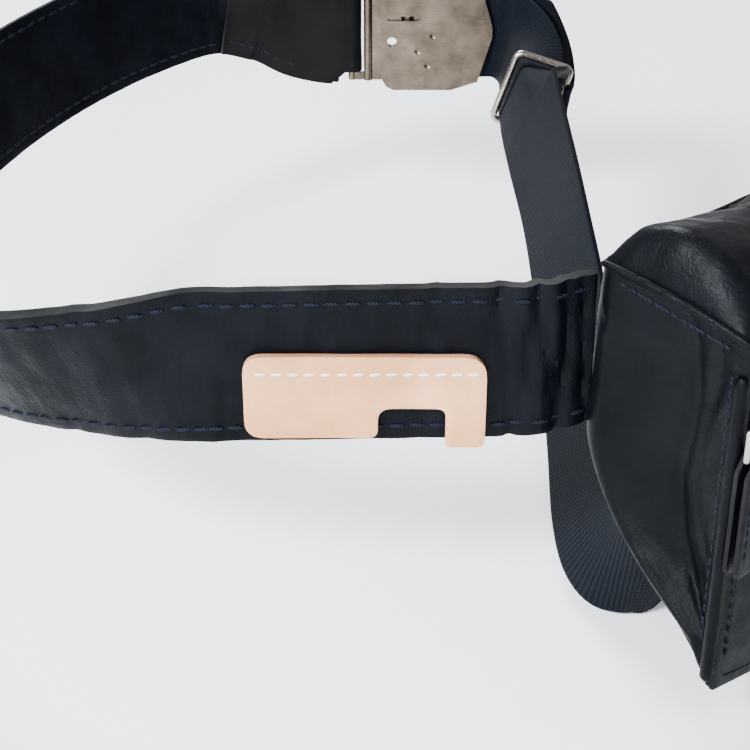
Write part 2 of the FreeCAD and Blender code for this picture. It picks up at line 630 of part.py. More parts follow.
# ---- build --------------------------------------------------------------------------------
def main():
    os.makedirs("parts", exist_ok=True)
    save("back_panel", back_panel())
    save("back_foam", back_foam())
    save("lining", lining())
    save("top_panel", panel(top_line))
    save("front_upper_panel", panel(front_upper_line))
    save("front_lower_panel", panel(front_lower_line))
    save("bottom_panel", panel(bottom_line))
    save("gusset_left", gusset(-1))
    save("gusset_right", gusset(1))
    save("front_welt_left", front_welt(-1))
    save("front_welt_right", front_welt(1))
    save("pouch_thread", pouch_thread())
    save("zip_tape_upper", zip_tape(1))
    save("zip_tape_lower", zip_tape(-1))
    save("zip_teeth_upper", zip_teeth(1))
    save("zip_teeth_lower", zip_teeth(-1))
    save("zip_slider", zip_slider())
    save("pull_link", pull_link())
    save("leather_pull", leather_pull())
    save("zip_stop", zip_stop())
    outer, inner = belt_layers()
    save("belt_outer", outer)
    save("belt_inner", inner)
    save("belt_thread", belt_thread())
    edge, stitches, flap = tag_parts()
    save("tag_edge", edge)
    save("tag_thread", stitches)
    save("tag_flap", flap)
    save("chape", chape())
    save("chape_thread", chape_thread())
    save("tongue_plate", tongue_plate())
    save("buckle_base", buckle_base())
    save("lever_pin", lever_pin())
    save("release_lever", release_lever())
    save("lever_spring", lever_spring())
    save("webbing_bar", webbing_bar())
    save("webbing_upper", webbing_upper())
    save("webbing_lower", webbing_lower())
    save("adjuster_ring", adjuster_ring())
    tab_outer, tab_inner = right_tab()
    save("tab_outer", tab_outer)
    save("tab_inner", tab_inner)
    save("tab_thread", tab_thread())


main()
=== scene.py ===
# %% [markdown]
# # A black leather waist bag
# The bag is a padded leather pouch on a wide two-layer belt. A webbing strap, a wire ring and a
# pressed metal buckle close the loop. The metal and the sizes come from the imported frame. This
# script adds the leather, the webbing, the stitches and the finishes.

# %% Frame, units and places
import json
import math
import bpy
import bmesh
from mathutils import Matrix, Vector, noise

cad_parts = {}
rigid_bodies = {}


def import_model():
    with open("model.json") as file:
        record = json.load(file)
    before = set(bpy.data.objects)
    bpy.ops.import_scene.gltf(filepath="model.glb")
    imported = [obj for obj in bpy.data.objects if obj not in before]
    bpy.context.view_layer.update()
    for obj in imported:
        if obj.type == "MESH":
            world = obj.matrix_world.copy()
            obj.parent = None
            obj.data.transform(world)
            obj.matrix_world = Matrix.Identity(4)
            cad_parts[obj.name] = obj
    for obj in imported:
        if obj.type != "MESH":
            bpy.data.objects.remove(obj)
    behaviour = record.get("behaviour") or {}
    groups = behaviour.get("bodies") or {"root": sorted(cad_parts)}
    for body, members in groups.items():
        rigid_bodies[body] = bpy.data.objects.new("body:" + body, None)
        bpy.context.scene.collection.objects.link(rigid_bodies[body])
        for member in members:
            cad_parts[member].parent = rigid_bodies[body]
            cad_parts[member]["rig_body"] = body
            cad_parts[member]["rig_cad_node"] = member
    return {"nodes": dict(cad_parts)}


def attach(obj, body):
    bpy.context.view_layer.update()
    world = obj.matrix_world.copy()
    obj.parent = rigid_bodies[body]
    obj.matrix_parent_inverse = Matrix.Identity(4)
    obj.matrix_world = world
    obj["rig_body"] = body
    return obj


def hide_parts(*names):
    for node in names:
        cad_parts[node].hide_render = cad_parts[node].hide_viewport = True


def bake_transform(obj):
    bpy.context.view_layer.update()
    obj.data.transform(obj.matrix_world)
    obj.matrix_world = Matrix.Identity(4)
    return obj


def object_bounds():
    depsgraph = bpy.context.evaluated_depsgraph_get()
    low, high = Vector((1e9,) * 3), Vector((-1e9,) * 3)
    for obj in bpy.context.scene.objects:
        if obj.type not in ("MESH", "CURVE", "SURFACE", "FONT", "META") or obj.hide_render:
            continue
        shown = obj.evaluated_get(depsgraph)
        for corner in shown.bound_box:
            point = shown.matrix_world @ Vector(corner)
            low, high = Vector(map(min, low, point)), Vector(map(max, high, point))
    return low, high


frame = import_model()
cad_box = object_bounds()
nodes = frame["nodes"]
MM = 0.001
ROW = Matrix.Identity(4)
# the belt, the webbing and the buckle lie in a frame turned 43 degrees about Z, as in the part
SIDE = Matrix.Translation((-0.160, 0.0373, 0)) @ Matrix.Rotation(math.radians(-43), 4, "Z")
BUCKLE_AT = Vector((20, 273, -1))
print("frame holds", len(nodes), "nodes")


# %% [markdown]
# ## Finishes
# Every finish is made of nodes that read Object coordinates in metres, so that grain and weave
# keep their real size. The webbing reads its own UV map instead, because its ribs turn with it.

# %% Node helpers
def new_finish(name):
    """A new material with its node tree and its Principled shader."""
    material = bpy.data.materials.new(name)
    material.use_nodes = True
    return material, material.node_tree, material.node_tree.nodes["Principled BSDF"]


def add(tree, kind, inputs=None, **settings):
    """One node, with its settings and its input values."""
    made = tree.nodes.new(kind)
    for key, value in settings.items():
        setattr(made, key, value)
    for key, value in (inputs or {}).items():
        made.inputs[key].default_value = value
    return made


def place_on(tree, kind="Object", stretch=(1, 1, 1), turn=(0, 0, 0)):
    """Coordinates of the piece, stretched and turned."""
    source = add(tree, "ShaderNodeTexCoord")
    mapping = add(tree, "ShaderNodeMapping", {"Scale": stretch, "Rotation": turn})
    tree.links.new(source.outputs[kind], mapping.inputs["Vector"])
    return mapping.outputs["Vector"]


def noise_on(tree, where, scale, detail=4.0, rough=0.55):
    """Noise value over the surface; scale is in features per metre."""
    made = add(tree, "ShaderNodeTexNoise", {"Scale": scale, "Detail": detail, "Roughness": rough})
    tree.links.new(where, made.inputs["Vector"])
    return made.outputs["Fac"]


def ramp(tree, value, stops):
    """Colour ramp with (place, colour) stops."""
    made = add(tree, "ShaderNodeValToRGB")
    for i, (spot, colour) in enumerate(stops):
        stop = made.color_ramp.elements[i] if i < 2 else made.color_ramp.elements.new(spot)
        stop.position = spot
        stop.color = (*colour, 1)
    tree.links.new(value, made.inputs["Fac"])
    return made.outputs["Color"]


def spread(tree, value, low, high, bottom=0.3, top=0.7):
    """The value carried from bottom..top to low..high."""
    made = add(tree, "ShaderNodeMapRange",
               {"From Min": bottom, "From Max": top, "To Min": low, "To Max": high})
    tree.links.new(value, made.inputs["Value"])
    return made.outputs["Result"]


def raise_by(tree, height, depth, strength, under=None):
    """Bump of a real depth in metres, on top of another bump."""
    made = add(tree, "ShaderNodeBump", {"Distance": depth, "Strength": strength})
    tree.links.new(height, made.inputs["Height"])
    if under:
        tree.links.new(under, made.inputs["Normal"])
    return made.outputs["Normal"]


# %% [markdown]
# Smooth cowhide has small pebbles, finer pores between them, and shallow wrinkles where it
# bends. Three heights are stacked: cells for the pebbles, noise for the pores, stretched noise for
# the wrinkles. The roughness wanders too, so the gloss breaks up as on handled leather.

# %% Leather finishes
def leather(name, dark, light, rough, grain=1500.0, depth=0.0002, wrinkle=0.0013, shine=0.055):
    """Leather between two colours; grain is in pebbles per metre, depth and wrinkle are in metres."""
    material, tree, shader = new_finish(name)
    where = place_on(tree)
    broad = noise_on(tree, where, 55, 5)
    tree.links.new(ramp(tree, broad, [(0.32, dark), (0.72, light)]), shader.inputs["Base Color"])
    worn = noise_on(tree, where, 170, 6, 0.6)
    tree.links.new(spread(tree, worn, rough - 0.09, rough + 0.1), shader.inputs["Roughness"])
    cells = add(tree, "ShaderNodeTexVoronoi", {"Scale": grain, "Smoothness": 0.6}, feature="SMOOTH_F1")
    tree.links.new(where, cells.inputs["Vector"])
    pebbles = raise_by(tree, cells.outputs["Distance"], depth, 0.35)
    pores = raise_by(tree, noise_on(tree, where, 2600, 3), depth, 0.25, pebbles)
    folds = noise_on(tree, place_on(tree, stretch=(1.0, 1.0, 0.35), turn=(0, 0.25, 0)), 110, 3, 0.5)
    tree.links.new(raise_by(tree, folds, wrinkle, 0.5, pores), shader.inputs["Normal"])
    shader.inputs["Specular IOR Level"].default_value = shine
    return material


BLACK_LEATHER = leather("black_leather", (0.001, 0.0012, 0.002), (0.0028, 0.0034, 0.0056), 0.39,
                        wrinkle=0.0019)
POUCH_LEATHER = leather("pouch_leather", (0.001, 0.0012, 0.0017), (0.003, 0.0034, 0.0048), 0.44, 1300)
CHAPE_LEATHER = leather("chape_leather", (0.0015, 0.0015, 0.0018), (0.004, 0.0038, 0.004), 0.5, shine=0.06)
TAN_LEATHER = leather("tan_leather", (0.56, 0.245, 0.105), (0.76, 0.395, 0.2), 0.62, 2200,
                      0.00012, 0.0003, 0.3)
DARK_EDGE = leather("dark_edge", (0.003, 0.003, 0.0035), (0.009, 0.0088, 0.009), 0.8, 3000,
                    0.0003, 0.0002, 0.1)
RAW_EDGE = leather("raw_edge", (0.006, 0.0062, 0.0065), (0.028, 0.028, 0.027), 0.9, 3000,
                   0.0003, 0.0002, 0.1)
TAN_EDGE = leather("tan_edge", (0.38, 0.16, 0.075), (0.6, 0.29, 0.15), 0.75, 3200,
                   0.00015, 0.0001, 0.3)


# %% [markdown]
# Thread is a twist of fibres: fine slanted ridges and a soft sheen. Webbing is woven in ribs that
# run across it, with warp yarns along it, and its selvedge is a little tighter.

# %% Thread and textile finishes
def thread(name, dark, light):
    material, tree, shader = new_finish(name)
    where = place_on(tree, turn=(0.4, 0.5, 0.8))
    twist = add(tree, "ShaderNodeTexWave", {"Scale": 420.0, "Distortion": 1.5, "Detail": 1.0})
    tree.links.new(where, twist.inputs["Vector"])
    tree.links.new(ramp(tree, twist.outputs["Fac"], [(0.2, dark), (0.8, light)]), shader.inputs["Base Color"])
    tree.links.new(raise_by(tree, twist.outputs["Fac"], 0.0001, 0.6), shader.inputs["Normal"])
    shader.inputs["Roughness"].default_value = 0.6
    shader.inputs["Specular IOR Level"].default_value = 0.06
    return material


def woven(name, dark, light, rib, warp, depth=0.00025, rough=0.6, where_kind="UV"):
    """Weave with ribs a pitch of rib along the piece and yarns a pitch of warp across it."""
    material, tree, shader = new_finish(name)
    where = place_on(tree, where_kind)
    heights = []
    for direction, pitch in (("X", rib), ("Y", warp)):
        wave = add(tree, "ShaderNodeTexWave", {"Scale": 0.314 / pitch, "Distortion": 0.4, "Detail": 1.0},
                   bands_direction=direction)
        tree.links.new(where, wave.inputs["Vector"])
        heights.append(wave.outputs["Fac"])
    both = add(tree, "ShaderNodeMath", operation="MULTIPLY")
    tree.links.new(heights[0], both.inputs[0])
    tree.links.new(heights[1], both.inputs[1])
    speckle = noise_on(tree, where, 900, 4, 0.7)
    mixed = add(tree, "ShaderNodeMath", operation="ADD")
    tree.links.new(both.outputs[0], mixed.inputs[0])
    tree.links.new(speckle, mixed.inputs[1])
    tree.links.new(ramp(tree, mixed.outputs[0], [(0.45, dark), (1.15, light)]), shader.inputs["Base Color"])
    low = raise_by(tree, both.outputs[0], depth, 0.8)
    tree.links.new(raise_by(tree, speckle, 0.0001, 0.4, low), shader.inputs["Normal"])
    tree.links.new(spread(tree, speckle, rough - 0.05, rough + 0.1), shader.inputs["Roughness"])
    shader.inputs["Sheen Weight"].default_value = 0.012
    shader.inputs["Sheen Roughness"].default_value = 0.4
    shader.inputs["Specular IOR Level"].default_value = 0.04
    return material


DARK_THREAD = thread("dark_thread", (0.0015, 0.002, 0.004), (0.009, 0.0115, 0.021))
WHITE_THREAD = thread("white_thread", (0.62, 0.6, 0.56), (0.86, 0.85, 0.82))
WEBBING = woven("webbing", (0.0012, 0.0016, 0.0028), (0.0045, 0.0062, 0.0108), 0.0013, 0.0008)
ZIP_TAPE = woven("zip_tape", (0.008, 0.008, 0.010), (0.024, 0.024, 0.028), 0.0008, 0.0008, 0.0001)
LINING = woven("lining_cloth", (0.02, 0.02, 0.023), (0.05, 0.05, 0.055), 0.0007, 0.0007, 0.00008,
               0.7, "Object")


# %% [markdown]
# The buckle is pressed steel with a satin nickel plate: tiny brushed lines, slightly warm, with
# softer gloss where fingers have rubbed it. The ring and the zip are plated wire, which is brighter.

# %% Metal finishes
def plated(name, dark, light, rough, lines=(40, 40, 900)):
    material, tree, shader = new_finish(name)
    brushed = noise_on(tree, place_on(tree, stretch=lines), 3.0, 3)
    cloudy = noise_on(tree, place_on(tree), 130, 4)
    tree.links.new(ramp(tree, cloudy, [(0.3, dark), (0.7, light)]), shader.inputs["Base Color"])
    tree.links.new(spread(tree, brushed, rough - 0.06, rough + 0.1), shader.inputs["Roughness"])
    tree.links.new(raise_by(tree, brushed, 0.00003, 0.25), shader.inputs["Normal"])
    shader.inputs["Metallic"].default_value = 1.0
    return material


NICKEL = plated("satin_nickel", (0.09, 0.07, 0.052), (0.19, 0.15, 0.112), 0.3)
WIRE_NICKEL = plated("wire_nickel", (0.3, 0.26, 0.22), (0.48, 0.43, 0.38), 0.26, (300, 300, 300))
ZIP_METAL = plated("zip_metal", (0.28, 0.27, 0.26), (0.5, 0.49, 0.47), 0.3, (200, 200, 200))


# %% [markdown]
# ## Laying straps along a route
# A strap is cut flat, so it starts as a flat grid of its own length and width, with a UV map in
# metres. Each vertex is then laid on the strap's route: a smooth curve through listed points,
# each with the direction of the strap's width. Solidify gives it thickness, and the rim gets the
# raw-edge finish. Creases are small moves along the strap's own normal.

# %% Routes
def smooth(rows, steps=10):
    """Catmull-Rom points through rows of numbers."""
    first = [2 * a - b for a, b in zip(rows[0], rows[1])]
    last = [2 * a - b for a, b in zip(rows[-1], rows[-2])]
    ends = [first] + [list(r) for r in rows] + [last]
    out = []
    for i in range(1, len(ends) - 2):
        for k in range(steps):
            t = k / steps
            out.append([0.5 * (2 * b + (c - a) * t + (2 * a - 5 * b + 4 * c - d) * t * t
                               + (3 * b - a - 3 * c + d) * t ** 3)
                        for a, b, c, d in zip(ends[i - 1], ends[i], ends[i + 1], ends[i + 2])])
    out.append(list(rows[-1]))
    return out


def route_through(points, step=1.5):
    """Even stations along dense points (x, y, z, width direction) in mm."""
    spots = [Vector(p[:3]) for p in points]
    widths = [Vector(p[3:6]) for p in points]
    total = [0.0]
    for a, b in zip(spots, spots[1:]):
        total.append(total[-1] + (b - a).length)
    count = max(4, int(total[-1] / step))
    stations, j = [], 0
    for i in range(count + 1):
        s = total[-1] * i / count
        while j < len(total) - 2 and total[j + 1] < s:
            j += 1
        share = (s - total[j]) / max(1e-9, total[j + 1] - total[j])
        stations.append((spots[j].lerp(spots[j + 1], share), widths[j].lerp(widths[j + 1], share), s))
    out = []
    for i, (spot, width, s) in enumerate(stations):
        along = (stations[min(i + 1, count)][0] - stations[max(i - 1, 0)][0]).normalized()
        width = (width - along * width.dot(along)).normalized()
        out.append((spot, along, width, along.cross(width), s))
    return out


def station(route, share):
    """Spot, along, width, normal and distance at a share of the route."""
    f = share * (len(route) - 1)
    i = min(int(f), len(route) - 2)
    k = f - i
    a, b = route[i], route[i + 1]
    return tuple(p.lerp(q, k) for p, q in zip(a[:4], b[:4])) + (a[4] + (b[4] - a[4]) * k,)


# %% Strap builder
def deselect():
    if bpy.context.object and bpy.context.object.mode != "OBJECT":
        bpy.ops.object.mode_set(mode="OBJECT")
    bpy.ops.object.select_all(action="DESELECT")


def use(ob):
    deselect()
    ob.select_set(True)
    bpy.context.view_layer.objects.active = ob


def apply_modifier(ob, kind, **settings):
    use(ob)
    made = ob.modifiers.new(kind.lower(), kind)
    for key, value in settings.items():
        setattr(made, key, value)
    bpy.ops.object.modifier_apply(modifier=made.name)


def soften(ob, angle=40):
    use(ob)
    bpy.ops.object.shade_smooth_by_angle(angle=math.radians(angle))


def dress(ob, *finishes):
    ob.data.materials.clear()
    for finish in finishes:
        ob.data.materials.append(finish)


def own_copy(node_name, name):
    """A free copy of a frame node's mesh, to be finished and put in the node's place."""
    ob = nodes[node_name].copy()
    ob.data = nodes[node_name].data.copy()
    ob.parent = None
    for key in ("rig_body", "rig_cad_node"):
        if key in ob:
            del ob[key]
    bpy.context.scene.collection.objects.link(ob)
    ob.name = ob.data.name = name
    return ob


def flat_grid(name, columns, rows):
    deselect()
    bpy.ops.mesh.primitive_grid_add(x_subdivisions=columns, y_subdivisions=rows, size=1, calc_uvs=True)
    ob = bpy.context.object
    ob.name = ob.data.name = name
    return ob


def thicken(ob, thick, offset=0.0, round_by=0.25):
    """Real thickness in mm, with a slightly rounded rim in the second finish."""
    rim = 1 if len(ob.data.materials) > 1 else 0
    apply_modifier(ob, "SOLIDIFY", thickness=thick * MM, offset=offset, use_even_offset=True,
                   use_quality_normals=True, material_offset_rim=rim)
    if round_by:
        apply_modifier(ob, "BEVEL", width=round_by * MM, segments=2, limit_method="ANGLE",
                       angle_limit=math.radians(55), use_clamp_overlap=True)
    soften(ob)


def strap(name, route, place, edges, thick, finishes, across=20, off=0.0, relief=None, fold=None,
          round_by=0.25):
    """Flat strip laid along its route. edges is (low, high) in mm or a function of the share."""
    ob = flat_grid(name, len(route) - 1, across)
    length = route[-1][4]
    for v in ob.data.vertices:
        share, t = v.co.x + 0.5, v.co.y + 0.5
        spot, along, width, normal, s = station(route, min(1, max(0, share)))
        low, high = edges(share, spot) if callable(edges) else edges
        w = low + (high - low) * t
        n = off
        if fold:
            w, dn = fold(w, spot, share)
            n += dn
        if relief:
            n += relief(s, w)
        v.co = place @ ((spot + width * w + normal * n) * MM)
    layer = ob.data.uv_layers.active.data
    for item in layer:
        item.uv = (item.uv[0] * length * MM, item.uv[1] * 40 * MM)
    dress(ob, *finishes)
    thicken(ob, thick, 0.0, round_by)
    return ob


# %% [markdown]
# ## Stitches
# One stitch is a short rounded length of thread. It is modelled once from a sphere of few faces
# and copied to every hole along a seam, a little sunk into the leather.

# %% Stitch rows
def one_stitch(length, wide, high):
    deselect()
    bpy.ops.mesh.primitive_uv_sphere_add(segments=8, ring_count=6, radius=0.5)
    ob = bpy.context.object
    bpy.ops.object.mode_set(mode="EDIT")
    bpy.ops.mesh.select_all(action="SELECT")
    bpy.ops.transform.rotate(value=math.pi / 2, orient_axis="Y", center_override=(0, 0, 0))
    bpy.ops.transform.resize(value=(length * MM, wide * MM, high * MM), center_override=(0, 0, 0))
    bpy.ops.object.mode_set(mode="OBJECT")
    mesh = ob.data
    bpy.data.objects.remove(ob)
    return mesh


def sew(name, spots, length, wide=0.85, high=0.6, finish=None):
    """One piece of stitches; spots are (place, along, normal) in the object's frame, in metres."""
    pattern = one_stitch(length, wide, high)
    made = bmesh.new()
    for place, along, normal in spots:
        x = along.normalized()
        z = (normal - x * normal.dot(x)).normalized()
        y = z.cross(x)
        turn = Matrix((x, y, z)).transposed().to_4x4()
        before = len(made.verts)
        made.from_mesh(pattern)
        made.verts.ensure_lookup_table()
        bmesh.ops.transform(made, matrix=Matrix.Translation(place) @ turn, verts=made.verts[before:])
    mesh = bpy.data.meshes.new(name)
    made.to_mesh(mesh)
    made.free()
    bpy.data.meshes.remove(pattern)
    ob = bpy.data.objects.new(name, mesh)
    bpy.context.scene.collection.objects.link(ob)
    dress(ob, finish or DARK_THREAD)
    soften(ob, 180)
    print(name, "has", len(spots), "stitches")
    return ob


def stitches_along(route, place, w, n, pitch, start=0.0, end=1e9, relief=None, face=-1):
    """Stitch places at a pitch along a route, w across it and n above its middle."""
    length = min(end, route[-1][4])
    spots = []
    s = start + pitch / 2
    while s < length - pitch / 2:
        spot, along, width, normal, here = station(route, s / route[-1][4])
        lift = n + (relief(s, w) if relief else 0)
        spots.append((place @ ((spot + width * w + normal * lift) * MM), place.to_3x3() @ along,
                      place.to_3x3() @ (normal * face)))
        s += pitch
    return spots


# %% [markdown]
# ## Belt
# Two leather layers are glued back to back and sewn near both edges. The leather bunches into
# upright creases where the belt leaves the pouch, and stays almost smooth round the curve.

# %% Belt
BELT_PATH = [
    (54.3, 2.2, -.4, 0, 0, 1), (51, .6, -.5, 0, 0, 1), (44, -3, -.8, 0, 0, 1),
    (37, -4.5, -1, 0, 0, 1), (30, -4.5, -1, 0, 0, 1),
    (0, -4.5, -1.5, 0, 0, 1), (-35, -4.5, -2.2, 0, 0, 1), (-44, -4.5, -2.5, 0, 0, 1),
    (-70, -1.5, -6, -.02, -.26, .96), (-106, 13, -11, -.15, -.42, .9), (-138, 48, -16, -.42, -.3, .86),
    (-155, 97, -18, -.45, -.05, .88), (-156, 150, -15, -.42, 0, .9), (-142, 200, -8, -.33, .05, .93),
    (-110, 246, 2, -.2, .1, .96), (-70, 279, 9, -.05, .1, .99), (-46, 282, 6, 0, 0, 1),
    (-32, 278, 1, 0, 0, 1), (-22, 275, -.6, 0, 0, 1), (-14, 273.9, -1, 0, 0, 1)]
BELT_WIDTH, BELT_OUTER, BELT_INNER, LAYER_GAP = 42.0, 1.6, 1.4, 0.06
BELT_HALF_THICK = (BELT_OUTER + LAYER_GAP + BELT_INNER) / 2
BELT_CREASES = [  # distance along, slant, width, depth, all in mm but the slant
    (3, .05, 1.6, 1.1), (8.5, -.06, 2.0, 1.6), (13, .1, 1.5, 1.2), (18, -.12, 2.3, 1.4),
    (23.5, .08, 1.6, 1.0),
    (29, -.2, 2.0, .6), (36, .25, 1.8, .45), (43, -.1, 2.4, .4), (95, .3, 3.0, .3), (112, -.25, 2.6, .35),
    (121, .15, 3.2, .3), (133, -.3, 2.4, .35), (143, .2, 3.0, .25), (158, -.35, 2.6, .3), (176, .3, 3.4, .25)]


def belt_relief(s, w):
    """Creases across the belt and a gentle uneven surface, in mm along its normal."""
    height = 0.5 * noise.noise(Vector((s / 24, w / 17, 3.1))) * min(1, s / 15)
    height += 0.55 * (abs(noise.noise(Vector((s / 8 + w / 22, w / 17, 5.3)))) - .25)
    for at, slant, wide, deep in BELT_CREASES:
        wander = 1.3 * noise.noise(Vector((w / 8, at, 0)))
        x = (s - at - slant * w - wander) / wide
        if abs(x) < 3:
            height += deep * math.exp(-x * x) * (1 - 0.35 * abs(x))
    return height * 0.85


belt_route = route_through(smooth(BELT_PATH, 12), 1.5)
half = BELT_WIDTH / 2
belt_outer = strap("belt_outer_leather", belt_route, SIDE, (-half, half), BELT_OUTER,
                   (BLACK_LEATHER, RAW_EDGE), 24, -BELT_HALF_THICK + BELT_OUTER / 2, belt_relief)
belt_inner = strap("belt_inner_leather", belt_route, SIDE, (-half, half), BELT_INNER,
                   (BLACK_LEATHER, RAW_EDGE), 24, BELT_HALF_THICK - BELT_INNER / 2, belt_relief)
belt_length = belt_route[-1][4]
print("belt", round(belt_length), "mm long")
STITCH_IN, BELT_PITCH, STITCH_LIFT = 3.8, 5.1, .08
CHAPE_OVERLAP = 49   # how far the chape reaches over the belt's end
rows = []
for w in (-half + STITCH_IN, half - STITCH_IN):
    for face in (-1, 1):
        rows += stitches_along(belt_route, SIDE, w, face * (BELT_HALF_THICK + STITCH_LIFT), BELT_PITCH, 2,
                               belt_length - CHAPE_OVERLAP - 1, belt_relief, face)
belt_stitches = sew("belt_stitches", rows, 4.1, 1.15, .95)
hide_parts("belt_outer")
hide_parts("belt_inner")
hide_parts("belt_thread")
for piece in (belt_outer, belt_inner, belt_stitches):
    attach(piece, "bag")


# %% [markdown]
# ## Chape
# The belt ends in a chape: a thinner piece of leather folded round the buckle tongue's bar and
# sewn over both faces of the belt. Its edges taper in to the bar's width.

# %% Chape
CHAPE_REACH = BELT_HALF_THICK + 1.1 + .7


def chape_points():
    """Out along one face of the belt, round the bar and back along the other face."""
    ends = [r for r in belt_route if r[4] > belt_length - CHAPE_OVERLAP]
    bar = Vector((-9.3, 273.9, -1))
    points = [tuple(c + n * CHAPE_REACH) + tuple(w) for c, a, w, n, s in ends]
    for angle in range(-80, 91, 10):
        a = math.radians(angle)
        points.append(tuple(bar + Vector((math.cos(a), math.sin(a), 0)) * CHAPE_REACH) + (0, 0, 1))
    points += [tuple(c - n * CHAPE_REACH) + tuple(w) for c, a, w, n, s in ends[::-1]]
    return points


def chape_edges(share, spot):
    taper = min(1, max(0, (spot.x + 17) / 5))
    return -half + 5 * taper, half - 5 * taper


def chape_relief(s, w):
    return 0.22 * noise.noise(Vector((s / 9, w / 12, 7.7)))


chape_route = route_through(chape_points(), 1.2)
chape = strap("chape_leather", chape_route, SIDE, chape_edges, 1.4, (CHAPE_LEATHER, RAW_EDGE), 20, 0,
              chape_relief)
chape_length = chape_route[-1][4]
CHAPE_SEAM = 15.5   # from the chape's middle line to either seam
rows = []
for w in (-CHAPE_SEAM, CHAPE_SEAM):
    rows += stitches_along(chape_route, SIDE, w, .7, 4.2, 3, 36, None, 1)
    rows += stitches_along(chape_route, SIDE, w, .7, 4.2, chape_length - 36, chape_length - 3, None, 1)
chape_stitches = sew("chape_stitches", rows, 3.2)
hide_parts("chape")
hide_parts("chape_thread")
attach(chape, "bag")
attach(chape_stitches, "bag")


# %% [markdown]
# ## Tag
# A thick tan label is sewn to the belt along its upper edge only. It is cut with a notch and a
# longer leg at its right end. The outline is a filled polygon with arcs at its corners, divided so that
# it can bend, then given its thickness.

# %% Tag
TAG_LEFT, TAG_RIGHT, TAG_TOP, TAG_LOW, TAG_LEG = -32.7, 27.6, 2.1, -20.8, -23.6
NOTCH_LEFT, NOTCH_RIGHT, NOTCH_TOP, TAG_THICK = .7, 17.7, -12.4, 2.0
TAG_BACK = -4.5 - BELT_HALF_THICK - .45


def rounded(corners):
    """Outline through (x, z, radius) corners, with a short arc at each."""
    out = []
    for i, (x, z, r) in enumerate(corners):
        here = Vector((x, z))
        before = (Vector(corners[i - 1][:2]) - here).normalized()
        after = (Vector(corners[(i + 1) % len(corners)][:2]) - here).normalized()
        a, b = here + before * r, here + after * r
        for k in range(7):
            t = k / 6
            out.append(a * (1 - t) ** 2 + here * 2 * t * (1 - t) + b * t * t)
    return out


def tag_piece():
    outline = rounded([(TAG_LEFT, TAG_TOP, 5), (TAG_LEFT, TAG_LOW, 5), (NOTCH_LEFT, TAG_LOW, 2.5),
                       (NOTCH_LEFT, NOTCH_TOP, 3.5), (NOTCH_RIGHT, NOTCH_TOP, 2.5),
                       (NOTCH_RIGHT, TAG_LEG, 1.2), (TAG_RIGHT, TAG_LEG, 2.5), (TAG_RIGHT, TAG_TOP, 6)])
    made = bmesh.new()
    face = made.faces.new([made.verts.new((p.x, 0, p.y)) for p in outline])
    for axis, low, high, step in ((0, TAG_LEFT, TAG_RIGHT, 2.9), (2, TAG_LEG, TAG_TOP, 1.6)):
        normal = Vector((1, 0, 0)) if axis == 0 else Vector((0, 0, 1))
        spot = low + step
        while spot < high:
            bmesh.ops.bisect_plane(made, geom=made.verts[:] + made.edges[:] + made.faces[:],
                                   plane_co=normal * spot, plane_no=normal, dist=0.01)
            spot += step
    for v in made.verts:
        x, z = v.co.x, v.co.z
        bow = 0.35 * noise.noise(Vector((x / 17, z / 12, 1.7))) + 0.25 * max(0, -(z + 14) / 9) ** 2
        stitched = math.exp(-((z + 2.75) / 0.9) ** 2)
        v.co = SIDE @ (Vector((x, TAG_BACK - TAG_THICK / 2 - bow * (1 - stitched) + .12 * stitched, z)) * MM)
    bmesh.ops.recalc_face_normals(made, faces=made.faces)
    mesh = bpy.data.meshes.new("tag")
    made.to_mesh(mesh)
    made.free()
    ob = bpy.data.objects.new("tag", mesh)
    bpy.context.scene.collection.objects.link(ob)
    dress(ob, TAN_LEATHER, TAN_EDGE)
    thicken(ob, TAG_THICK, 0.0, .35)
    return ob


tag = tag_piece()
spots = []
x_axis, out = SIDE.to_3x3() @ Vector((1, 0, 0)), SIDE.to_3x3() @ Vector((0, -1, 0))
for i in range(14):
    x = TAG_LEFT + 4.4 + i * 4.06
    slant = (x_axis + Vector((0, 0, .05))).normalized()
    spots.append((SIDE @ (Vector((x, TAG_BACK - TAG_THICK + .02, -2.75)) * MM), slant, out))
tag_stitches = sew("tag_stitches", spots, 3.0, .95, .7, WHITE_THREAD)
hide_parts("tag_edge", "tag_flap")
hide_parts("tag_thread")
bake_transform(tag)
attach(tag_stitches, "bag")


# %% [markdown]
# ## Webbing
# The webbing is flat where it is free and gathers into a fold inside the wire ring. It goes from
# its tab at the pouch's right end down to the floor and up to the ring, and a second length goes
# from the ring round the buckle's bar.

# %% Webbing
WEB_UPPER_PATH = [
    (42.6, 274.3, -1, 0, 0, 1), (46.5, 274.6, -1, 0, 0, 1), (49.8, 273.2, -1.2, .05, 0, 1),
    (52.2, 269, -1.5, .1, 0, 1), (53.6, 262, -1.8, .16, 0, .98), (54, 250, -2, .24, 0, .97),
    (54.3, 240, -2.4, .3, 0, .95), (54.3, 229, -2.8, .32, 0, .947), (54.3, 225.6, -3, .33, 0, .944)]
WEB_LOWER_PATH = [
    (54.4, 223.2, -3.1, .34, 0, .94), (54.7, 213, -4.3, .36, 0, .93), (55.4, 201, -6.9, .37, -.05, .92),
    (56.5, 188, -10, .38, -.12, .9), (59.5, 145, -22, .36, -.3, .88), (61.5, 100, -38, .42, -.36, .82),
    (62, 60, -54, .45, -.36, .82), (61.5, 34, -65, .44, -.38, .81), (62.8, 19, -71.5, .36, -.4, .83),
    (68.5, 10.5, -74.5, .25, -.38, .87), (78, 9.5, -75.5, .1, -.34, .92)]
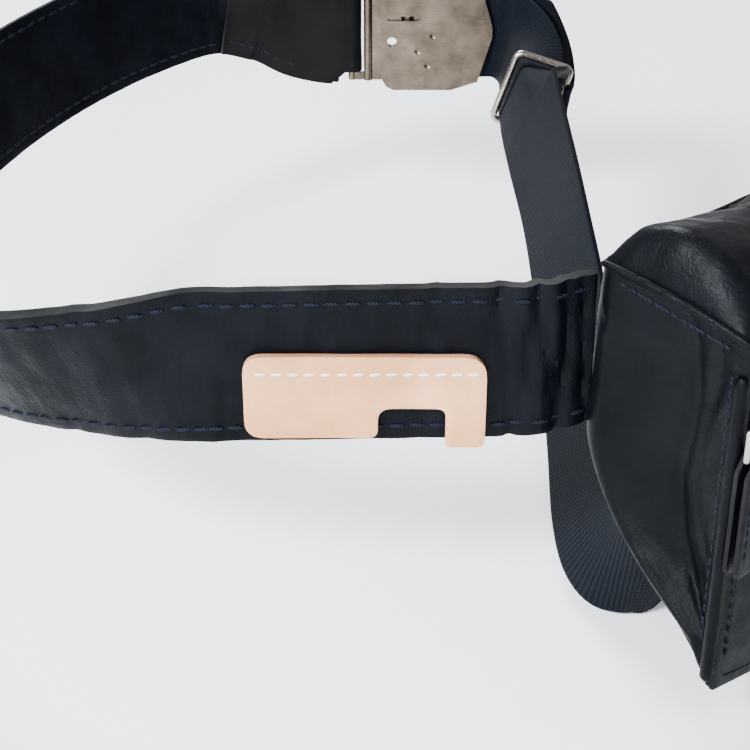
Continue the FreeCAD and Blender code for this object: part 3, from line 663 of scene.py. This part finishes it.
WEB_TAIL_PATH = [
    (-80, -9, -75, -.05, -.35, .92), (-45, -2, -73.5, 0, -.35, .93), (0, 8, -70, 0, -.35, .93),
    (50, 20, -60, 0, -.3, .95), (100, 32, -40, 0, -.2, .98), (140, 40, -18, 0, -.1, 1),
    (162, 38, -5, 0, 0, 1), (178, 28, -1, 0, 0, 1), (184, 18, 0, 0, 0, 1), (177, 7, 0, 0, 0, 1),
    (166, 2.6, 0, 0, 0, 1), (157, 2.4, 0, 0, 0, 1), (150, 2.4, 0, 0, 0, 1), (138, 2.4, 0, 0, 0, 1),
    (126, 2.4, 0, 0, 0, 1)]
RETURN_PATH = [
    (44, 280, -1, 0, 0, 1), (50, 278.6, -1, 0, 0, 1), (57, 273, -2, .05, 0, 1),
    (65, 262, -4, .15, 0, .98), (71.5, 248, -6, .25, 0, .96), (74.9, 237, -8, .3, 0, .95),
    (75.2, 231.5, -8.4, .32, 0, .947), (74.2, 228, -8.6, .32, 0, .947), (71.8, 226.4, -8.8, .32, 0, .947)]
WEB_HALF, WEB_THICK, BEND_AT = 19.0, 1.8, 3.0
FOLD_FROM, FOLD_OVER, LOWER_ANGLE = 196, 26, 80    # the lower webbing turns over towards the ring
RING_FROM, RING_OVER, UPPER_ANGLE = 262, 30, 88    # and so does the upper one, from its own side
NARROWED, FRONT_SHARE = 19.5, 0.52                 # its front length is drawn in, its back length folds


def fold_over(w, angle):
    """Across place and rise of a point when all beyond BEND_AT turns back by angle, on a small arc."""
    turn = math.radians(angle)
    if turn < .01 or w <= BEND_AT - 1.5:
        return w, 0.0
    x, rise, here = BEND_AT - 1.5, 0.0, BEND_AT - 1.5
    while here < w - 1e-9:
        step = min(.25, w - here)
        lean = turn * min(1, (here + step / 2 - BEND_AT + 1.5) / 3)
        x += math.cos(lean) * step
        rise -= math.sin(lean) * step
        here += step
    return x, rise


def web_relief(s, w):
    return 0.25 * noise.noise(Vector((s / 30, w / 16, 9.3)))


inverse = SIDE.inverted()
tail = []
for row in WEB_TAIL_PATH:
    tail.append(tuple((inverse @ (Vector(row[:3]) * MM)) / MM) + tuple(inverse.to_3x3() @ Vector(row[3:6])))
lower_route = route_through(smooth(WEB_LOWER_PATH + tail, 10), 1.6)


def lower_fold(w, spot, share):
    angle = max(0, min(LOWER_ANGLE, (spot.y - FOLD_FROM) / FOLD_OVER * LOWER_ANGLE))
    return fold_over(w, angle if share < .3 else 0)


webbing_lower = strap("webbing_lower_strap", lower_route, SIDE, (-WEB_HALF, WEB_HALF), WEB_THICK,
                      (WEBBING,), 24, 0, web_relief, lower_fold, .4)
turn_rows = []
for angle in range(100, 251, 15):
    a = math.radians(angle)
    spot = BUCKLE_AT + Vector((18.6, 4.2, 0)) + Vector((math.cos(a), math.sin(a), 0)) * 2.95
    turn_rows.append(tuple(spot) + (0, 0, 1))
back_rows = smooth(RETURN_PATH[::-1], 8)[:-1]
upper_route = route_through(back_rows + turn_rows + smooth(WEB_UPPER_PATH, 8), 1.2)
upper_length = upper_route[-1][4]


def near_ring(spot):
    return min(1, max(0, (RING_FROM - spot.y) / RING_OVER))


def upper_edges(share, spot):
    return -WEB_HALF, WEB_HALF - (NARROWED * near_ring(spot) if share < FRONT_SHARE else 0)


def upper_fold(w, spot, share):
    return fold_over(w, UPPER_ANGLE * near_ring(spot) if share > FRONT_SHARE else 0)


webbing_upper = strap("webbing_upper_strap", upper_route, SIDE, upper_edges, WEB_THICK, (WEBBING,), 24, 0,
                      web_relief, upper_fold, .4)
print("webbing", round(lower_route[-1][4]), "and", round(upper_length), "mm long")
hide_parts("webbing_lower")
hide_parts("webbing_upper")
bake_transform(webbing_lower)
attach(webbing_upper, "buckle")


# %% [markdown]
# ## Pouch
# The pouch is a shell of sewn panels: a flat back, a stuffed top, a front in two parts with the zip
# between them, a sloping bottom and two end gussets that fold inwards. Each panel is a flat grid laid
# on its own lines, so the leather can be pulled in at the seams and creased in between.

# %% Pouch sizes and panel builder
LENGTH, DEPTH, BACK_TOP, BACK_LOW, FRONT_TOP = 240.0, 46.0, 24.0, -30.0, 18.0
END_LOW, MID_LOW, DOME, ZIP_Z, ZIP_OPEN, LEATHER = -81.0, -93.6, 8.5, -2.0, 12.0, 1.3
GUSSET_CREASE = 7.0


def low_seam(share):
    return MID_LOW + (END_LOW - MID_LOW) * share * share


def puff(share):
    """How full the stuffed top is: closed down at its ends."""
    inward = (1 - abs(share)) / .07
    return 1.0 if inward >= 1 else math.sin(max(0, inward) * math.pi / 2) ** .8


def on_line(points, t):
    """Point on a smooth curve through (y, z) points at a share of it."""
    rows = smooth(points, 8)
    f = t * (len(rows) - 1)
    i = min(int(f), len(rows) - 2)
    return [a + (b - a) * (f - i) for a, b in zip(rows[i], rows[i + 1])]


def inside(u, v, across, along):
    """0 at a panel's border and 1 within it; across and along say how fast it rises."""
    return min(1, u * across, (1 - u) * across, v * along, (1 - v) * along)


def panel(name, surface, columns, rows, inward, relief, stuffing=None):
    """Leather panel: surface(u, v) gives its outer face in mm, and inward points to its flesh side."""
    ob = flat_grid(name, columns, rows)
    spots = {}
    for v in ob.data.vertices:
        spots[v.index] = (v.co.x + .5, v.co.y + .5)
    for v in ob.data.vertices:
        v.co = Vector(surface(*spots[v.index])) * MM
    use(ob)
    side = ob.data.polygons[len(ob.data.polygons) // 2]
    if side.normal.dot(Vector(inward)) > 0:
        bpy.ops.object.mode_set(mode="EDIT")
        bpy.ops.mesh.select_all(action="SELECT")
        bpy.ops.mesh.flip_normals()
        bpy.ops.object.mode_set(mode="OBJECT")
    normals = [n.vector.copy() for n in ob.data.vertex_normals]
    for v in ob.data.vertices:
        v.co += normals[v.index] * relief(*spots[v.index]) * MM
    if stuffing:
        settle(ob, spots, *stuffing)
    dress(ob, POUCH_LEATHER, RAW_EDGE)
    thicken(ob, LEATHER, -1.0, .3)
    return ob


def settle(ob, spots, pressure, slack, steps, cap):
    """Cloth simulation of a panel with its border held; no point moves further than cap mm."""
    start = [v.co.copy() for v in ob.data.vertices]
    group = ob.vertex_groups.new(name="seam")
    for v in ob.data.vertices:
        weight = 1 - inside(*spots[v.index], 30, 12)
        if weight > 0:
            group.add([v.index], weight, "REPLACE")
    use(ob)
    cloth = ob.modifiers.new("cloth", "CLOTH")
    cloth.settings.vertex_group_mass = "seam"
    cloth.settings.use_pressure = True
    cloth.settings.uniform_pressure_force = pressure
    cloth.settings.shrink_min = -slack
    cloth.settings.bending_stiffness = 6
    cloth.settings.tension_stiffness = 30
    cloth.settings.compression_stiffness = 30
    cloth.settings.effector_weights.gravity = 0
    cloth.settings.quality = 6
    for frame_number in range(1, steps + 1):
        bpy.context.scene.frame_set(frame_number)
    bpy.ops.object.modifier_apply(modifier=cloth.name)
    bpy.context.scene.frame_set(1)
    furthest = 0.0
    for v in ob.data.vertices:
        move = v.co - start[v.index]
        furthest = max(furthest, move.length / MM)
        if move.length > cap * MM:
            v.co = start[v.index] + move.normalized() * cap * MM
    ob.vertex_groups.clear()
    print(ob.name, "settled, furthest move", round(furthest, 1), "mm")


def crinkle(x, y, size, seed, sharp=.6):
    """Leather wrinkles from -1 to 1: soft ridges with sharper valleys."""
    n = noise.noise(Vector((x / size, y / size, seed)))
    m = noise.noise(Vector((x / size * 2.3, y / size * 2.1, seed + 5)))
    return n * .7 - sharp * (.35 - abs(m))


# %% [markdown]
# The top is stuffed. It is the piece that shows what leather does under pressure, so it is swollen
# by cloth simulation: its border is held at the seams, the leather is given a little slack, and
# air pressure lifts it. The result is applied to the mesh.

# %% Stuffed top
TOP_SHAPE = ((0, 0), (.09, .5), (.24, .84), (.45, 1), (.68, .84), (.88, .42), (1, 0))


def top_surface(u, v):
    share = u * 2 - 1
    along, height = on_line(TOP_SHAPE, v)
    along, height = min(1, max(0, along)), max(0, height)
    seam = BACK_TOP + (FRONT_TOP - BACK_TOP) * along
    full = puff(share) * (1.95 - 1.35 * min(1, (1 - abs(share)) / .4))
    return share * LENGTH / 2, -DEPTH * along, seam + DOME * height * full


def top_relief(u, v):
    x, y = u * LENGTH, v * 70
    hold = inside(u, v, 14, 7)
    gather = math.exp(-min(u, 1 - u) * 22) * math.sin(v * 31 + 2 * noise.noise(Vector((v * 6, u * 9, 1))))
    front = math.exp(-(1 - v) * 9) * math.sin(x / 5.2 + 3 * noise.noise(Vector((x / 30, 0, 4))))
    return hold * (.6 * crinkle(x, y, 34, 2.2) + .25 * crinkle(x, y, 13, 6.1) + .5 * gather + .3 * front)


pouch_top = panel("pouch_top", top_surface, 130, 40, (0, 0, -1), top_relief, stuffing=(3, .012, 14, 3))

# %% [markdown]
# The gussets are the end panels. Their middle folds inwards, and the leather buckles beside the
# fold. The fold is deepest at mid height, as on a pouch that is only part full.

# %% End gussets
GUSSET_BACK = ((1.4, 23.6), (2.2, 12), (2.8, 0), (3.2, -14), (2.6, -27), (-4, -41), (-13, -52), (-24, -62.5),
               (-36, -73), (-44.5, -79.5))
GUSSET_FRONT = ((-45.8, 17.6), (-45.8, 7), (-45.8, -4), (-45.8, -16), (-45.8, -28), (-45.8, -40),
                (-45.8, -51), (-45.8, -61), (-45.8, -71), (-45.8, -80))
WRAP, WRAP_SHARE = 6.5, .2   # radius of the roll at the back edge, and its share of the panel's width


def gusset_surface(side):
    """The end panel: it rolls round the pouch's back edge, then folds in between back and front."""
    def surface(u, v):
        yb, zb = on_line(GUSSET_BACK, v)
        yf, zf = on_line(GUSSET_FRONT, v)
        outward = Vector((yb - yf, zb - zf))
        reach = max(.1, outward.length)
        outward.normalize()
        roll = min(WRAP, reach * .45)
        fold = math.sin(math.pi * min(.97, v * .9 + .12)) ** .7
        if u < WRAP_SHARE:
            turn = (1 - u / WRAP_SHARE) * math.pi / 2
            x = LENGTH / 2 + .6 - roll * (1 - math.cos(turn))
            inset = roll * (1 - math.sin(turn))
            return side * x, yb - outward.x * inset, zb - outward.y * inset
        t = (u - WRAP_SHARE) / (1 - WRAP_SHARE)
        gone = roll + (reach - roll) * t
        shape = (math.sin(math.pi * t ** .85)) ** 1.3 * min(1, reach / 30)
        x = LENGTH / 2 + .6 - GUSSET_CREASE * fold * shape
        return side * x, yb - outward.x * gone, zb - outward.y * gone
    return surface


def gusset_relief(seed):
    """Buckles beside the fold and fine wrinkles all over."""
    def relief(u, v):
        hold = min(1, u * 9, (1 - u) * 8, v * 9, (1 - v) * 9)
        y, z = u * 52, v * 105
        upright = math.exp(-((u - .6 - .05 * math.sin(v * 7)) / .045) ** 2) * min(1, max(0, (.86 - v) * 8))
        side = math.exp(-((u - .76 - .04 * math.sin(v * 9 + 1)) / .04) ** 2) * min(1, max(0, (.8 - v) * 8))
        return hold * (.5 * crinkle(y, z * .5, 17, seed) + .12 * crinkle(y, z * .8, 7, seed + 3)
                       - 1.3 * upright - .6 * side)
    return relief


gusset_left = panel("gusset_left_panel", gusset_surface(-1), 52, 90, (1, 0, 0), gusset_relief(1.3),
                    stuffing=(.6, .003, 8, 1.2))
gusset_right = panel("gusset_right_panel", gusset_surface(1), 52, 90, (-1, 0, 0), gusset_relief(8.4),
                     stuffing=(.6, .003, 8, 1.2))


# %% Front, bottom and back panels
def front_upper_surface(u, v):
    top, low = FRONT_TOP - .2, ZIP_Z + ZIP_OPEN / 2
    bulge = .9 * math.sin(math.pi * v) * min(1, u * 12, (1 - u) * 12)
    return (u * 2 - 1) * LENGTH / 2, -DEPTH - bulge, low + (top - low) * v


def front_lower_surface(u, v):
    share = u * 2 - 1
    top, low = ZIP_Z - ZIP_OPEN / 2, low_seam(share)
    bulge = 2.6 * math.sin(math.pi * min(1, v * 1.8)) * min(1, u * 7, (1 - u) * 7)
    return share * LENGTH / 2, -DEPTH - bulge, low + (top - low) * v


def front_relief(u, v):
    hold = inside(u, v, 16, 8)
    x, z = u * LENGTH, v * 80
    flat = 1 - .6 * min(1, max(0, (v - .45) * 8))   # the pull slides over the upper part
    return hold * flat * (1.0 * crinkle(x, z, 42, 3.7) + .4 * crinkle(x, z * .6, 15, 8.8))


def small_relief(u, v):
    return .2 * crinkle(u * LENGTH, v * 12, 16, 4.4) * inside(u, v, 16, 5)


def bottom_surface(u, v):
    share = u * 2 - 1
    low = low_seam(share) + 1
    y = -.4 + (-DEPTH + .8) * v
    z = BACK_LOW - 1 + (low - BACK_LOW + 1) * v
    sag = 3.2 * math.sin(math.pi * v) * min(1, u * 8, (1 - u) * 8)
    return share * (LENGTH / 2 - 4), y + sag * .4, z + .8 - sag * .25


def back_surface(u, v):
    share = u * 2 - 1
    dip = -.9 * (1 - inside(u, v, 30, 9)) ** 2
    return share * (LENGTH / 2 - 5), dip, BACK_LOW - 1 + (BACK_TOP - BACK_LOW + 1) * v


front_upper = panel("front_upper_leather", front_upper_surface, 120, 10, (0, 1, 0), small_relief)
front_lower = panel("front_lower_leather", front_lower_surface, 120, 44, (0, 1, 0), front_relief)
bottom = panel("bottom_leather", bottom_surface, 100, 36, (0, -1, 1), front_relief)
back = panel("back_leather", back_surface, 110, 28, (0, -1, 0), small_relief)

# %% [markdown]
# ## Turned seams
# Where two panels meet, their edges are turned in and sewn, which leaves a small rounded roll.
# Each roll is a curve with a round section, made a mesh, and the stitches lie beside it.


# %% Seam rolls
def roll(name, points, radius):
    """Rounded leather roll along a smooth line of points in mm, thinner at its two ends."""
    deselect()
    line = [Vector(p) * MM for p in smooth(points, 6)]
    curve = bpy.data.curves.new(name, "CURVE")
    curve.dimensions = "3D"
    curve.bevel_depth = radius * MM
    curve.bevel_resolution = 3
    curve.use_fill_caps = True
    spline = curve.splines.new("POLY")
    spline.points.add(len(line) - 1)
    for i, (item, spot) in enumerate(zip(spline.points, line)):
        item.co = (*spot, 1)
        uneven = 1 + .12 * noise.noise(Vector((i * .45, radius, 2)))
        item.radius = uneven * (.55 if i in (0, len(line) - 1) else 1)
    ob = bpy.data.objects.new(name, curve)
    bpy.context.scene.collection.objects.link(ob)
    use(ob)
    bpy.ops.object.convert(target="MESH")
    dress(ob, POUCH_LEATHER)
    soften(ob, 180)
    return ob


rolls = []
for side, word in ((-1, "left"), (1, "right")):
    x = side * (LENGTH / 2 + .2)
    over = [(x, -1 - 44 * t, 24.2 - 6 * t + 1.2 * math.sin(math.pi * t)) for t in (0, .2, .4, .6, .8, 1)]
    rolls.append(roll("top_roll_" + word, over, 1.1))
    upright = [(side * (LENGTH / 2 + .7), -44.2, z) for z in range(-78, 18, 8)]
    rolls.append(roll("front_welt_" + word, upright, 1.9))
rolls.append(roll("top_front_roll", [(x, -DEPTH + .3, FRONT_TOP + .3) for x in range(-118, 119, 12)], 1.2))
rolls.append(roll("top_back_roll", [(x, -1.6, BACK_TOP + .1) for x in range(-118, 119, 12)], 1.3))
low_line = [(s / 20 * LENGTH / 2, -DEPTH + 1.6, low_seam(s / 20) + 1.6) for s in range(-20, 21, 2)]
rolls.append(roll("bottom_roll", low_line, 1.5))


# %% Pouch stitches
def seam_spots(points, normal, pitch, start=2.0):
    """Stitch places along a smooth line of points in mm."""
    line = [Vector(p) for p in smooth(points, 12)]
    spots, gone = [], -start
    for a, b in zip(line, line[1:]):
        gone += (b - a).length
        if gone >= pitch:
            gone -= pitch
            spots.append((b * MM, (b - a), Vector(normal)))
    return spots


spots = []
for side in (-1, 1):
    x = side * (LENGTH / 2 - 3.4)
    low_end = [(x, -DEPTH - .35 - .5 * math.sin(math.pi * (z + 78) / 66), z) for z in range(-76, -12, 8)]
    spots += seam_spots(low_end, (0, -1, 0), 3.6)
    spots += seam_spots([(x, -DEPTH - .6, z) for z in (7.5, 10, 13, 15.5)], (0, -1, 0), 3.6)
    x = side * (LENGTH / 2 + 1.5)
    top_end = [(x + side * .1, -4 - 37 * t, 22.2 - 6 * t) for t in (0, .25, .5, .75, 1)]
    spots += seam_spots(top_end, (side, 0, .3), 2.6)
    spots += seam_spots([(x - side * .6, -41.4, z) for z in range(-70, 14, 8)], (side, 0, 0), 3.6)
for z in (ZIP_Z - ZIP_OPEN / 2 - 2, ZIP_Z + ZIP_OPEN / 2 + 2):
    y = -DEPTH - (.55 if z > ZIP_Z else .5)
    spots += seam_spots([(x, y, z) for x in range(-114, 115, 12)], (0, -1, 0), 3.6)
pouch_stitches = sew("pouch_stitches", spots, 2.7, .8, .6)

# %% Back cushion and lining
deselect()
bpy.ops.mesh.primitive_cube_add(size=1, location=(0, -.0035, -.0035))
cushion = bpy.context.object
cushion.name = cushion.data.name = "back_cushion"
bpy.ops.transform.resize(value=(.216, .0032, .041))
bpy.ops.object.transform_apply(location=True, rotation=True, scale=True)
apply_modifier(cushion, "REMESH", mode="VOXEL", voxel_size=.0016)
apply_modifier(cushion, "SMOOTH", factor=.5, iterations=4)
dress(cushion, LINING)
soften(cushion, 180)
lining = own_copy("lining", "lining_bag")
apply_modifier(lining, "WELD", merge_threshold=.00002)
dress(lining, LINING)
soften(lining, 40)

for piece, *stood in ((pouch_top, "top_panel"), (gusset_left, "gusset_left"), (gusset_right, "gusset_right"),
                      (front_upper, "front_upper_panel"), (front_lower, "front_lower_panel"),
                      (bottom, "bottom_panel"), (back, "back_panel"), (rolls[1], "front_welt_left"),
                      (rolls[3], "front_welt_right"), (pouch_stitches, "pouch_thread"),
                      (cushion, "back_foam"), (lining, "lining")):
    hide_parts(*stood)
for piece in [pouch_top, gusset_left, gusset_right, front_upper, front_lower, bottom, back] + rolls:
    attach(piece, "bag")
for piece, word in ((pouch_stitches, "thread_dark"), (cushion, "foam"), (lining, "lining_cloth")):
    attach(piece, "bag")


# %% [markdown]
# ## Zip, pull and tab
# The zip's metal comes from the frame. Its tapes are woven strips, and its pull is a folded strip of
# leather, sewn below the wire link. The webbing's hidden end is held between two leather wings.

# %% Zip tapes, leather pull and tab
def plain_strip(name, corner_low, corner_high, y, thick, finishes, columns, rows, corner=0.0, wave=0.0):
    """Flat strip in the X-Z plane with softened corners."""
    (x0, z0), (x1, z1) = corner_low, corner_high
    ob = flat_grid(name, columns, rows)
    for v in ob.data.vertices:
        x, z = v.co.x * 2, v.co.y * 2
        wide, tall = (x1 - x0) / 2, (z1 - z0) / 2
        cx, cz = x * wide, z * tall
        dx, dz = abs(cx) - (wide - corner), abs(cz) - (tall - corner)
        if corner and dx > 0 and dz > 0:
            pull = corner / max(corner, math.hypot(dx, dz))
            cx = math.copysign(wide - corner + dx * pull, cx)
            cz = math.copysign(tall - corner + dz * pull, cz)
        lift = wave * noise.noise(Vector((cx / 8, cz / 8, 3.3)))
        v.co = Vector(((x0 + x1) / 2 + cx, y + lift, (z0 + z1) / 2 + cz)) * MM
    for item in ob.data.uv_layers.active.data:
        item.uv = (item.uv[0] * (x1 - x0) * MM, item.uv[1] * (z1 - z0) * MM)
    dress(ob, *finishes)
    thicken(ob, thick, 0.0, .2)
    return ob


tape_half = LENGTH / 2 - 4
for side, word in ((1, "upper"), (-1, "lower")):
    near, far = ZIP_Z + side * 2.2, ZIP_Z + side * 15
    tape = plain_strip("zip_tape_" + word + "_woven", (-tape_half, min(near, far)),
                       (tape_half, max(near, far)), -44.15, .5, (ZIP_TAPE,), 90, 8)
    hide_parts("zip_tape_" + word)
    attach(tape, "bag")

PULL_X, PULL_Z, PULL_Y = -116.0, -9.5, -49.0


def pull_edges(share, spot):
    wide = 8 if spot.z < PULL_Z - 4 else 5 + 3 * min(1, max(0, (PULL_Z - spot.z) / 4))
    tip = min(1, max(0, (spot.z - (PULL_Z - 33.5)) / 3))
    wide *= .72 + .28 * math.sqrt(tip)
    return -wide, wide


LEG_OUT, FOLD_OUT = 1.45, 1.6   # from the strip's middle to its legs, and to its fold round the link
down = [(32.5, LEG_OUT), (20, LEG_OUT), (8, LEG_OUT), (2, FOLD_OUT)]
pull_points = [(PULL_X, PULL_Y + gap, PULL_Z - drop, -1, 0, 0) for drop, gap in down]
for angle in range(0, 181, 30):
    a = math.radians(angle)
    pull_points.append((PULL_X, PULL_Y + FOLD_OUT * math.cos(a), PULL_Z + FOLD_OUT * math.sin(a), -1, 0, 0))
pull_points += [(PULL_X, PULL_Y - gap, PULL_Z - drop, -1, 0, 0) for drop, gap in down[::-1]]
pull_route = route_through(smooth(pull_points, 4), 1.0)


def pull_relief(s, w):
    return .12 * noise.noise(Vector((s / 6, w / 6, 2)))


leather_pull = strap("leather_pull_strip", pull_route, ROW, pull_edges, 1.3, (BLACK_LEATHER, DARK_EDGE), 12,
                     0, pull_relief, None, .2)
spots = []
for side in (1, -1):
    down = [(PULL_X + side * 5.4, PULL_Y - 2.15, z) for z in (-14.5, -22, -30, -38)]
    spots += seam_spots(down, (0, -1, 0), 3.2)
pull_stitches = sew("pull_stitches", spots, 2.4, .7, .5)
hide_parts("leather_pull")
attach(leather_pull, "pull")
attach(pull_stitches, "pull")

wings = []
for word, y in (("outer", .5), ("inner", 4.3)):
    wing = plain_strip("tab_" + word + "_wing", (121.6, -20), (155, 20), y, 1.3,
                       (BLACK_LEATHER, RAW_EDGE), 24, 28, 5, .1)
    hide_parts("tab_" + word)
    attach(wing, "bag")
    wings.append(wing)
TAB_SEAMS = (((126, 15), (150, 15)), ((126, -15), (150, -15)), ((126, -15), (126, 15)),
             ((150, -15), (150, 15)), ((126.5, -14.5), (149.5, 14.5)))
spots = []
for y, face in ((-.25, -1), (5.05, 1)):
    for (x0, z0), (x1, z1) in TAB_SEAMS:
        line = [(x0 + (x1 - x0) * t, y, z0 + (z1 - z0) * t) for t in (0, .33, .67, 1)]
        spots += seam_spots(line, (0, face, 0), 3.4)
tab_stitches = sew("tab_stitches", spots, 2.6)
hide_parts("tab_thread")
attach(tab_stitches, "bag")


# %% [markdown]
# ## Metal
# The pressed and bent metal keeps the frame's exact shape. Each piece is a copy of its node with
# its loose faces merged, its sharp edges broken by a small bevel, and its round faces shaded smooth.

# %% Metal pieces
METAL = {   # body, finish, slot and the bevel of its edges in mm
    "tongue_plate": ("bag", NICKEL, "nickel", .35),
    "buckle_base": ("buckle", NICKEL, "nickel", .3),
    "lever_pin": ("buckle", WIRE_NICKEL, "nickel", .15),
    "release_lever": ("lever", NICKEL, "nickel", .3),
    "lever_spring": ("buckle", ZIP_METAL, "nickel", 0),
    "webbing_bar": ("buckle", NICKEL, "nickel", .15),
    "adjuster_ring": ("buckle", WIRE_NICKEL, "bright_nickel", 0),
    "zip_slider": ("slider", ZIP_METAL, "zip_metal", .2),
    "pull_link": ("pull", ZIP_METAL, "zip_metal", 0),
    "zip_teeth_upper": ("bag", ZIP_METAL, "zip_metal", .12),
    "zip_teeth_lower": ("bag", ZIP_METAL, "zip_metal", .12),
    "zip_stop": ("bag", ZIP_METAL, "zip_metal", .15)}
for name, (body, finish, word, edge) in METAL.items():
    piece = own_copy(name, name + "_finished")
    apply_modifier(piece, "WELD", merge_threshold=.00001)
    if edge:
        bpy.ops.object.mode_set(mode="EDIT")
        bpy.ops.mesh.select_all(action="SELECT")
        bpy.ops.mesh.dissolve_limited(angle_limit=math.radians(1.5))
        bpy.ops.object.mode_set(mode="OBJECT")
        apply_modifier(piece, "BEVEL", width=edge * MM, segments=2, limit_method="ANGLE",
                       angle_limit=math.radians(40), use_clamp_overlap=True)
    dress(piece, finish)
    soften(piece, 35)
    if edge:
        apply_modifier(piece, "WEIGHTED_NORMAL", keep_sharp=True, weight=80)
    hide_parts(name)
    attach(piece, body)
print(len(METAL), "metal pieces")


# %% [markdown]
# ## Floor, light and camera
# The bag stands on a pale floor under soft studio light, seen from its left end and a little above.

# %% Floor, light and camera
FLOOR_Z, FLOOR_GAP = cad_box[0].z, .0004
deselect()
bpy.ops.mesh.primitive_plane_add(size=12, location=(0, 0, FLOOR_Z - FLOOR_GAP))
floor = bpy.context.object
floor.name = "floor"
material, tree, shader = new_finish("pale_floor")
shader.inputs["Base Color"].default_value = (.94, .94, .94, 1)
shader.inputs["Roughness"].default_value = .9
dress(floor, material)

world = bpy.context.scene.world or bpy.data.worlds.new("studio")
bpy.context.scene.world = world
world.use_nodes = True
sky = world.node_tree.nodes["Background"]
sky.inputs["Color"].default_value = (.93, .96, 1, 1)
sky.inputs["Strength"].default_value = .62


def lamp(name, spot, size, power, colour=(1, 1, 1), at=(-.12, .03, -.02)):
    """Square area light aimed at the bag."""
    deselect()
    bpy.ops.object.light_add(type="AREA", location=spot)
    ob = bpy.context.object
    ob.name = name
    ob.data.size = size
    ob.data.energy = power
    ob.data.color = colour
    ob.rotation_euler = (Vector(at) - Vector(spot)).to_track_quat("-Z", "Y").to_euler()
    return ob


lamp("key_light", (-1.2, .1, .75), .3, 58, (.88, .94, 1))
lamp("front_light", (-.95, -.55, .35), .2, 13, (.9, .95, 1))
lamp("back_light", (.5, 1.1, 1.2), .6, 48, (.95, .98, 1))

CAMERA_AT, AIM = Vector((-.4009, -.2210, .1878)), Vector((-.16, .0373, 0))
camera = bpy.data.objects.new("camera", bpy.data.cameras.new("camera"))
bpy.context.scene.collection.objects.link(camera)
camera.data.lens = 76.8
camera.data.sensor_width = 36
camera.data.shift_y = -.0347
camera.data.clip_start = .01
camera.location = CAMERA_AT
camera.rotation_euler = (AIM - CAMERA_AT).to_track_quat("-Z", "Y").to_euler()
bpy.context.scene.camera = camera
